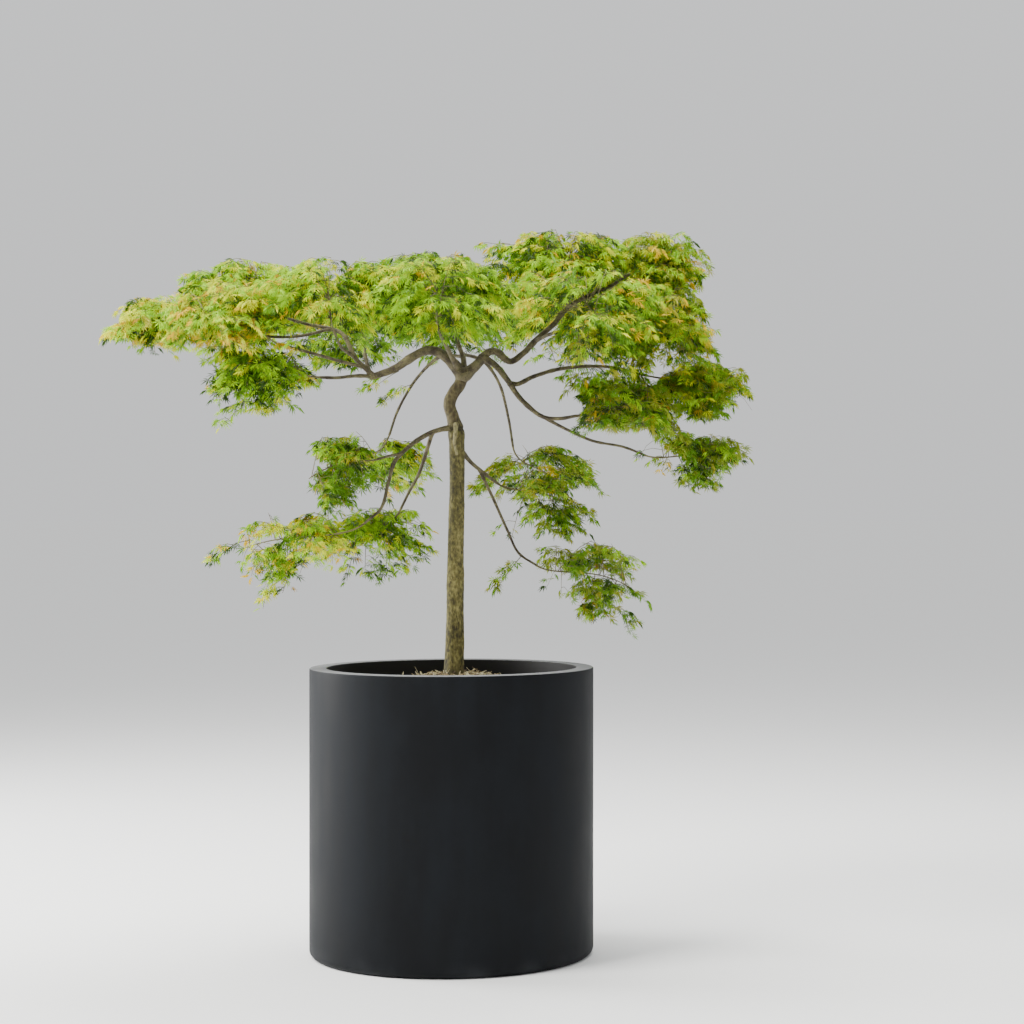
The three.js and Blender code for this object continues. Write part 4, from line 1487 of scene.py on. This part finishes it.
@dataclass(frozen=True)
class Sprays:
    """The sprays and leaves of one mass.

    A spray leaves its twig to one side and hangs from half its length on. Its leaves stand in
    pairs, with one at its tip.
    """

    name: str
    seed: int = 7950
    seed_step: int = 211  # between one mass and the next
    twig_radii: tuple[float, float] = (1.9, 0.8)  # at the foot and at the tip
    radii: tuple[float, float] = (1.15, 0.5)
    count: int = 8  # on each twig
    along: tuple[float, float] = (0.16, 1.02)  # where they leave a twig, as shares of it
    uneven: float = 0.3
    turn: tuple[float, float] = (0.45, 1.15)  # from the twig's way, in radians
    length: tuple[float, float] = (78.0, 132.0)
    shortening: tuple[float, float] = (1.12, 0.35)  # its length's factor: first - second x along
    rise: tuple[float, float] = (-0.05, 0.3)  # of its bend, as shares of its length
    fall: tuple[float, float] = (0.12, 0.62)  # of its end
    bend_out: float = 0.52
    end_out: float = 0.9
    pairs: int = 4  # of leaves on each spray
    stands: tuple[float, float] = (0.3, 0.86)  # the first and the last pair's place
    stand_spread: float = 0.05
    leaf: float = 30.0  # a middle lobe's length
    leaf_sizes: tuple[float, float] = (0.72, 1.2)
    leaf_turn: tuple[float, float] = (0.6, 1.25)  # from the spray's way, in radians
    leaf_turn_spread: float = 0.18
    leaf_hang: tuple[float, float] = (0.1, 0.95)
    leaf_tilt: float = 0.46
    leaf_end: float = 1.1  # the most depth that its tip may reach
    tip: float = 1.3  # how far its tip is from its foot, in middle lobes
    blade: float = 0.8  # and its blade's middle
    stray: float = 0.42  # the share of leaves that are dealt a shade of their own
    inside: tuple[float, float] = (0.45, 0.85)  # the depths between which the painted shade fades out
    under: tuple[float, float] = (0.1, 0.9)  # how far below the middle the painted shade grows again
    under_share: float = 0.5
    painted_shade: tuple[float, float] = (3.0, 0.6)  # painted shade: how much likelier dark shades are there, and others

    def curves(self, rng: np.random.Generator, twigs: np.ndarray) -> np.ndarray:
        """Sprays along the twigs, as far as they end in the mass's space.

        Args:
            rng: the mass's random numbers.
            twigs: the twigs' control points.

        Returns:
            Control points, sprays by three by x, y, z.
        """
        total = len(twigs) * self.count
        steps = np.tile(np.arange(self.count) + 0.5, (len(twigs), 1))
        steps = steps + rng.uniform(-self.uneven, self.uneven, (len(twigs), self.count))
        along = self.along[0] + (self.along[1] - self.along[0]) * steps / self.count
        start, way = (a.reshape(total, 3) for a in bezier(twigs, np.clip(along, 0, 1)))
        side = np.tile(np.where(np.arange(self.count) % 2, 1, -1), len(twigs))
        heading = turned(way, side * rng.uniform(*self.turn, total))
        shorter = self.shortening[0] - self.shortening[1] * along.ravel()
        length = rng.uniform(*self.length, total) * shorter
        rise, fall = rng.uniform(*self.rise, total), rng.uniform(*self.fall, total)
        bend = start + heading * (self.bend_out * length)[:, None] + (rise * length)[:, None] * UP
        end = start + heading * (self.end_out * length)[:, None] - (fall * length)[:, None] * UP
        return np.stack([start, bend, end], 1)[Space(self.name).holds(end, 1.0)]

    def deal(self, rng: np.random.Generator, sprays: np.ndarray, each: int, tint: str) -> np.ndarray:
        """Deals shades by spray, and to some leaves one of their own.

        Sprays deep in the mass or under it are dealt the darker ones more often, as painted shade.

        Args:
            rng: the mass's random numbers.
            sprays: the sprays' control points.
            each: leaves on a spray.
            tint: which of the mixes of shades is dealt.

        Returns:
            Each leaf's shade, as its number in the mix.
        """
        mass, shares = MASSES[self.name], MIXES[tint]
        # painted shade: darker shades are likelier deep in the mass and under it
        inner = 1 - smoothstep(*self.inside, mass.depth(sprays[:, 2]))
        below = smoothstep(*self.under, (mass.middle[2] - sprays[:, 2, 2]) / mass.reach[2])
        painted_shade = np.clip(inner + self.under_share * below, 0, 1)[:, None]
        likelier = np.where([shade in (Shade.DEEP, Shade.GREEN) for shade in shares], *self.painted_shade)
        chance = np.array(list(shares.values())) * (1 + painted_shade * (likelier - 1))
        chance = np.cumsum(chance / chance.sum(1, keepdims=True), 1)
        dealt = (rng.random((len(sprays), 1)) > chance).sum(1)
        strays = rng.random((len(sprays), each)) < self.stray
        own = (rng.random((len(sprays), each, 1)) > chance[:, None]).sum(2)
        return np.where(strays, own, dealt[:, None]).ravel()

    def grow(self, tint: str, limbs: ShownLimbs, foliage: Foliage) -> None:
        """Grows the mass's twigs, sprays and leaves into a gathering.

        Args:
            tint: which of the mixes of shades is dealt.
            limbs: the limbs that stay in view.
            foliage: what the result is added to.
        """
        rng = np.random.default_rng(self.seed + self.seed_step * list(MASSES).index(self.name))
        twigs = Twigs(self.name).curves()
        foliage.add_twigs(twigs, *self.twig_radii)
        sprays = self.curves(rng, twigs)
        hiding = limbs.hidden_by(sprays[:, 1]) | limbs.hidden_by(sprays.mean(1))
        foliage.add_twigs(sprays[~hiding], *self.radii)
        sprays = np.concatenate([sprays, twigs])

        stands = np.append(np.repeat(np.linspace(*self.stands, self.pairs), 2), 1.0)
        uneven = rng.uniform(-self.stand_spread, self.stand_spread, (len(sprays), len(stands)))
        place = np.clip(stands + uneven, 0, 1)
        root, way = (a.reshape(-1, 3) for a in bezier(sprays, place))
        sides = np.tile(np.append(np.tile([1, -1], self.pairs), 0), len(sprays))
        turn = sides * rng.uniform(*self.leaf_turn, len(sides))
        turn = turn + rng.normal(0, self.leaf_turn_spread, len(sides))
        hang = rng.uniform(*self.leaf_hang, len(sides))
        ahead = unit(turned(way, turn) - hang[:, None] * UP)
        face = unit(UP + rng.normal(0, self.leaf_tilt, ahead.shape))
        face = unit(face - (face * ahead).sum(-1, keepdims=True) * ahead)
        size = self.leaf * rng.uniform(*self.leaf_sizes, len(sides))
        shade = self.deal(rng, sprays, len(stands), tint)
        keep = Space(self.name).holds(root + ahead * (self.tip * size)[:, None], self.leaf_end)
        keep &= ~limbs.hidden_by(root + ahead * (self.blade * size)[:, None])
        foliage.add_leaves(keep, root=root, way=ahead, face=face, size=size, shade=shade)


@dataclass(frozen=True)
class Crown:
    """The crown: each mass grows on from its bough, and masses are joined into a few pieces."""

    twig_steps: int = 4
    twig_sides: int = 3
    stem_start: float = 0.75  # a stem's radius at its foot, as a share of its bough's tip
    stem_tip: float = 1.6

    def leaves(self, name: str, foliage: Foliage, finishes: list[bpy.types.Material]) -> bpy.types.Object:
        """Joins the leaves of a gathering: each has one of the postures, turned to its way and face.

        Args:
            name: the piece's name.
            foliage: the gathering.
            finishes: the materials of its shades.

        Returns:
            The piece.
        """
        rng = np.random.default_rng(len(name))
        root, way, face = (np.concatenate(a) for a in (foliage.root, foliage.way, foliage.face))
        size, shade = np.concatenate(foliage.size), np.concatenate(foliage.shade)
        cut = LeafCut()
        postures = cut.postures
        kind = rng.choice(len(postures), len(root), p=[posture.share for posture in postures])
        shapes, kinds = [], []
        for number, posture in enumerate(postures):
            points, triangles = cut.shape(posture)
            mine = kind == number
            axes = np.stack([way[mine], np.cross(face[mine], way[mine]), face[mine]], 1)
            laid = np.einsum("pk,lkx->lpx", points, axes) * size[mine][:, None, None]
            placed = root[mine][:, None] + laid
            shapes.append((placed.reshape(-1, 3), copied(triangles, len(placed), len(points))))
            kinds.append(np.repeat(shade[mine], len(triangles)))
        return make_piece(name, *joined(shapes), finishes, np.concatenate(kinds), False)

    def twigs(
        self, name: str, foliage: Foliage, masses: list[str], finish: bpy.types.Material
    ) -> bpy.types.Object:
        """Joins twigs and sprays: three-sided rings along each curve, and a limb for each stem.

        A ring's corners lie round the curve on the normal of the plane that the curve is in
        and on the cross product of that and the tangent.

        Args:
            name: the piece's name.
            foliage: the gathering.
            masses: the masses whose stems are among them.
            finish: the material.

        Returns:
            The piece.
        """
        control, thick = np.concatenate(foliage.twigs), np.concatenate(foliage.thickness)
        share = np.tile(np.linspace(0, 1, self.twig_steps), (len(control), 1))
        line, way = bezier(control, share)
        normal = unit(np.cross(control[:, 1] - control[:, 0], control[:, 2] - control[:, 0]))[:, None]
        other = np.cross(way, normal)
        radius = thick[:, :1] + (thick[:, 1:] - thick[:, :1]) * share
        angle = angles(self.twig_sides)[:, None]
        out = np.cos(angle) * normal[:, :, None] + np.sin(angle) * other[:, :, None]
        shapes = [closed_tubes(line[:, :, None] + out * radius[..., None, None])]
        for mass in masses:
            start = BOUGHS[MASSES[mass].on].end * self.stem_start
            shapes.append(Limb(Twigs(mass).stem()[0], start, self.stem_tip, len(mass)).shape())
        return make_piece(name, *joined(shapes), [finish])

    def build(self) -> None:
        """Every group of masses: one piece of leaves each, and one of twigs for each half."""
        blades = {shade: shade.material() for shade in Shade}
        wood = {"upper": Foliage(), "lower": Foliage()}
        halves: dict[str, list[str]] = {"upper": [], "lower": []}
        limbs = ShownLimbs()
        for name, (slot, tint, masses) in GROUPS.items():
            gathered = Foliage()
            for mass in masses:
                Sprays(mass).grow(tint, limbs, gathered)
            half = "upper" if MASSES[masses[0]].is_upper else "lower"
            halves[half] += masses
            wood[half].twigs += gathered.twigs
            wood[half].thickness += gathered.thickness
            piece = self.leaves("leaves_" + name, gathered, [blades[shade] for shade in MIXES[tint]])
            dress(piece, ["leaves_" + mass for mass in masses])
        finish = LimbBark("twig_bark", (78, 68, 42), (132, 124, 80), (52, 44, 30)).material()
        for half, masses in halves.items():
            piece = self.twigs("twigs_" + half, wood[half], masses, finish)
            dress(piece, ["leaves_" + mass for mass in masses])


# Spaces that the photograph shows open, as lowest and highest corners
OPEN_SPACES: tuple[tuple[Place, Place], ...] = (
    ((-60, -260, 900), (85, 110, 2085)),  # round the trunk
    ((-420, -400, 1885), (20, 700, 2065)),  # under the left boughs
    ((20, -300, 1830), (430, 700, 2050)),  # under the right boughs
    ((480, -400, 1760), (700, 150, 1835)),  # under the right skirt
    ((800, -200, 1838), (1010, 300, 1885)),  # between the right tip and the fall below it
)

# Where several trailing twigs start, on the boughs left_back and centre_top
BACK_FOOT, BACK_LOW = (-306, -40, 2119), (-308, 10, 2146)
BACK_MIDDLE, BACK_HIGH = (-308, 40, 2162), (-312, 70, 2178)
TOP_LOW, TOP_HIGH = (20, 10, 2160), (12, 5, 2190)

# Thin twigs that hang free of the masses or close the crown between them: start, bend and end
TRAILING: dict[str, tuple[Curve, ...]] = {
    "left_tip": (((-1110, -45, 2205), (-1175, -45, 2205), (-1206, -45, 2138)),),
    "left_mid": (((-500, -255, 2105), (-525, -232, 2142), (-560, -215, 2068)),),
    "left_back": (
        (BACK_HIGH, (-420, 112, 2200), (-512, 120, 2132)),
        (BACK_LOW, (-400, 62, 2160), (-462, 96, 2080)),
        (BACK_HIGH, (-362, 120, 2172), (-378, 150, 2112)),
        (BACK_MIDDLE, (-330, 90, 2150), (-316, 130, 2092)),
        (BACK_LOW, (-350, 70, 2130), (-420, 110, 2100)),
        (BACK_LOW, (-275, 60, 2195), (-218, 110, 2122)),
        (BACK_HIGH, (-326, 30, 2296), (-392, -6, 2252)),
        (BACK_FOOT, (-282, -30, 2262), (-322, -66, 2256)),
        (BACK_HIGH, (-400, 40, 2286), (-470, 10, 2244)),
    ),
    "left_skirt": (
        ((-632, -170, 1946), (-720, -190, 1938), (-790, -175, 1850)),
        ((-186, -79, 2050), (-205, -120, 2040), (-268, -125, 1992)),
    ),
    "back_left": (((-140, 276, 2026), (-175, 272, 2022), (-250, 250, 1952)),),
    "right_front": (
        ((318, -30, 2176), (345, -70, 2150), (362, -95, 2082)),
        ((400, -240, 2192), (470, -190, 2150), (500, -120, 2078)),
    ),
    "centre_top": (
        (TOP_HIGH, (-110, 40, 2300), (-215, 50, 2236)),
        (TOP_LOW, (-100, -60, 2262), (-196, -84, 2196)),
        (TOP_HIGH, (-70, 110, 2290), (-170, 160, 2228)),
        (TOP_HIGH, (110, 30, 2300), (205, 50, 2240)),
        (TOP_HIGH, (90, 110, 2290), (180, 170, 2232)),
        (TOP_LOW, (110, -60, 2262), (200, -90, 2204)),
    ),
    "right_skirt": (
        ((500, 96, 2080), (560, 60, 2078), (612, 20, 2008)),
        ((569, 110, 2080), (640, 90, 2072), (690, 60, 1998)),
    ),
    "right_shoulder": (((600, -60, 2200), (625, -100, 2150), (618, -120, 2068)),),
    "low_left_fall": (
        ((-563, -170, 1380), (-640, -180, 1350), (-648, -175, 1225)),
        ((-493, -170, 1392), (-560, -175, 1370), (-582, -170, 1278)),
        ((-690, -170, 1462), (-765, -172, 1456), (-812, -170, 1384)),
        ((-330, -160, 1480), (-340, -200, 1420), (-360, -210, 1320)),
    ),
    "low_right_fall": (
        ((252, 162, 1402), (225, 150, 1372), (165, 135, 1290)),
        ((560, 170, 1235), (625, 170, 1205), (645, 172, 1112)),
    ),
}

# How far along each limb the photograph shows it through the crown
SHOWN_LIMBS: dict[str, float] = {
    "left_main": 1.0, "right_main": 1.0, "left_reach": 1.0, "left_far": 0.5, "left_side": 0.6,
    "right_rise": 1.0, "right_sweep": 0.9, "right_mid": 0.7, "low_left": 0.9, "low_left_inner": 0.8,
    "low_right": 0.6, "low_right_fall": 0.8, "centre_top": 0.5,
}


def mix(**shares: float) -> dict[Shade, float]:
    """A mix of shades by their names, in the order in which they are dealt."""
    return {Shade[name.upper()]: share for name, share in shares.items()}


MIXES: dict[str, dict[Shade, float]] = {
    "lime": mix(lime=0.42, green=0.24, yellow=0.15, deep=0.17, amber=0.02),
    "sunny": mix(lime=0.44, yellow=0.27, green=0.15, deep=0.1, amber=0.04),
    "green": mix(green=0.42, lime=0.24, deep=0.16, khaki=0.15, amber=0.03),
    "gold": mix(yellow=0.33, lime=0.26, amber=0.13, green=0.12, khaki=0.07, bronze=0.03, deep=0.06),
    "olive": mix(olive=0.35, deep=0.12, khaki=0.14, green=0.23, bronze=0.01, lime=0.13, amber=0.02),
    "warm": mix(lime=0.34, green=0.2, yellow=0.19, deep=0.16, amber=0.05, khaki=0.06),
    "ripe": mix(green=0.22, olive=0.2, lime=0.18, khaki=0.15, yellow=0.11, amber=0.07, deep=0.07),
}

# For each joined piece of leaves: its slot, its mix of shades and its masses
GROUPS: dict[str, tuple[str, str, list[str]]] = {
    "lime_left": ("lime", "sunny", ["left_high", "left_front"]),
    "lime_back": ("lime", "lime", ["left_back", "left_skirt"]),
    "lime_centre": ("lime", "lime", ["centre_front", "centre_top", "centre_back"]),
    "lime_right": ("lime", "warm", ["right_top", "right_front", "right_back"]),
    "lime_low": ("lime", "lime", ["back_left", "low_left_inner"]),
    "green_low": ("green", "green", ["low_left"]),
    "gold_left": ("gold", "gold", ["left_tip", "left_mid"]),
    "gold_low": ("gold", "gold", ["low_left_fall"]),
    "gold_right": ("gold", "ripe", ["right_crest", "right_shoulder", "right_tip"]),
    "olive_right": ("olive", "olive", ["right_skirt", "right_fall"]),
    "olive_low": ("olive", "olive", ["back_right", "low_right", "low_right_fall"]),
}


# The studio


@dataclass(frozen=True)
class Lamp:
    """A square soft light, turned to what it lights. Places and sizes are in metres."""

    name: str
    place: Place
    aim: float  # the height on the planter's axis that it is turned to
    size: float
    power: float
    tone: Place

    def build(self) -> None:
        """Adds the light to the scene."""
        data = bpy.data.lights.new(self.name, "AREA")
        data.size = self.size
        data.energy = self.power
        data.color = self.tone
        made = bpy.data.objects.new(self.name, data)
        made.location = self.place
        way = Vector((0, 0, self.aim)) - Vector(self.place)
        made.rotation_euler = way.to_track_quat("-Z", "Y").to_euler()
        bpy.context.scene.collection.objects.link(made)


@dataclass(frozen=True)
class Studio:
    """A plain pale floor, soft lights, and a camera at the photograph's viewing angle."""

    distance: float = 8.3  # metres
    eye: float = 1.54  # metres over the floor
    focal: float = 2340.0  # in pixels of a frame 1024 wide
    frame_width: float = 1024.0
    axis_column: float = 452.0  # where the planter's axis shows
    middle_column: float = 640.0  # where the camera points
    horizon_row: float = 517.0
    sensor: float = 36.0
    floor_radius: float = 900000.0
    floor_sides: int = 96
    floor_tone: Rgb = (242, 242, 241)
    sky_tone: Linear = (0.92, 0.93, 0.94, 1.0)
    sky_low: float = 0.88  # the sky's strength at the horizon
    sky_height: float = 0.4  # how high up it has its full strength
    lamps: tuple[Lamp, ...] = (
        Lamp("key", (-4.0, -2.6, 6.6), 1.9, 2.7, 800.0, (1.0, 0.99, 0.95)),
        Lamp("side", (-6.6, 2.5, 2.9), 0.9, 3.4, 860.0, (1.0, 1.0, 1.0)),
        Lamp("top", (0.8, 1.4, 7.0), 1.8, 3.2, 580.0, (1.0, 1.0, 0.97)),
    )

    def camera(self) -> None:
        """The camera: level, turned to the right, with a shift that puts the planter in its place."""
        data = bpy.data.cameras.new("camera")
        data.sensor_width = self.sensor
        data.lens = self.focal / self.frame_width * self.sensor
        data.shift_x = -(self.middle_column - self.frame_width / 2) / self.frame_width
        data.shift_y = (self.horizon_row - self.frame_width / 2) / self.frame_width
        data.clip_end = 2000.0
        made = bpy.data.objects.new("camera", data)
        turn = math.atan((self.middle_column - self.axis_column) / self.focal)
        made.location = (0.0, -self.distance, self.eye)
        made.rotation_euler = (math.pi / 2, 0.0, -turn)
        bpy.context.scene.collection.objects.link(made)
        bpy.context.scene.camera = made

    def floor(self) -> None:
        """A wide round floor, pale and matte: a fan of triangles."""
        angle = angles(self.floor_sides)
        ring = np.stack([np.cos(angle), np.sin(angle), 0 * angle], -1) * self.floor_radius
        points = np.concatenate([ring, [[0, 0, 0]]])
        j = np.arange(self.floor_sides)
        triangles = np.stack([np.full_like(j, self.floor_sides), j, (j + 1) % self.floor_sides], -1)
        made = Finish("floor_pale")
        made.surface(Base_Color=linear(self.floor_tone), Roughness=1.0, Specular_IOR_Level=0.0)
        make_piece("floor", points, triangles, [made.material], smooth=False)

    def surround(self) -> None:
        """A pale sky that meets the far floor in one tone.

        Far out, the floor sends on its base colour's share of the sky's mean light. The sky
        starts from that at the horizon and eases to full light higher up.
        """
        world = bpy.data.worlds.new("surround")
        world.use_nodes = True
        nodes, links = world.node_tree.nodes, world.node_tree.links
        back = nodes["Background"]
        back.inputs["Color"].default_value = self.sky_tone
        way = nodes.new("ShaderNodeTexCoord")
        height = nodes.new("ShaderNodeSeparateXYZ")
        ease = nodes.new("ShaderNodeMapRange")
        ease.interpolation_type = "SMOOTHSTEP"
        ease.inputs["From Max"].default_value = self.sky_height
        ease.inputs["To Min"].default_value = self.sky_low
        links.new(way.outputs["Generated"], height.inputs[0])
        links.new(height.outputs["Z"], ease.inputs["Value"])
        links.new(ease.outputs[0], back.inputs["Strength"])
        bpy.context.scene.world = world

    def build(self) -> None:
        """The camera, the floor, the lights and a pale surround."""
        self.camera()
        self.floor()
        for lamp in self.lamps:
            lamp.build()
        self.surround()


def main() -> None:
    """Builds every sub-assembly; each piece is reported as it is dressed."""
    logging.basicConfig(level=logging.INFO, format="%(name)s: %(message)s")
    Studio().build()
    Planter().build()
    bed = SoilBed()
    bed.build()
    Mulch(bed).build()
    trunk = Trunk()
    trunk.build()
    trunk.build_tongue()
    Framework().build()
    Crown().build()


if __name__ == "__main__":
    main()
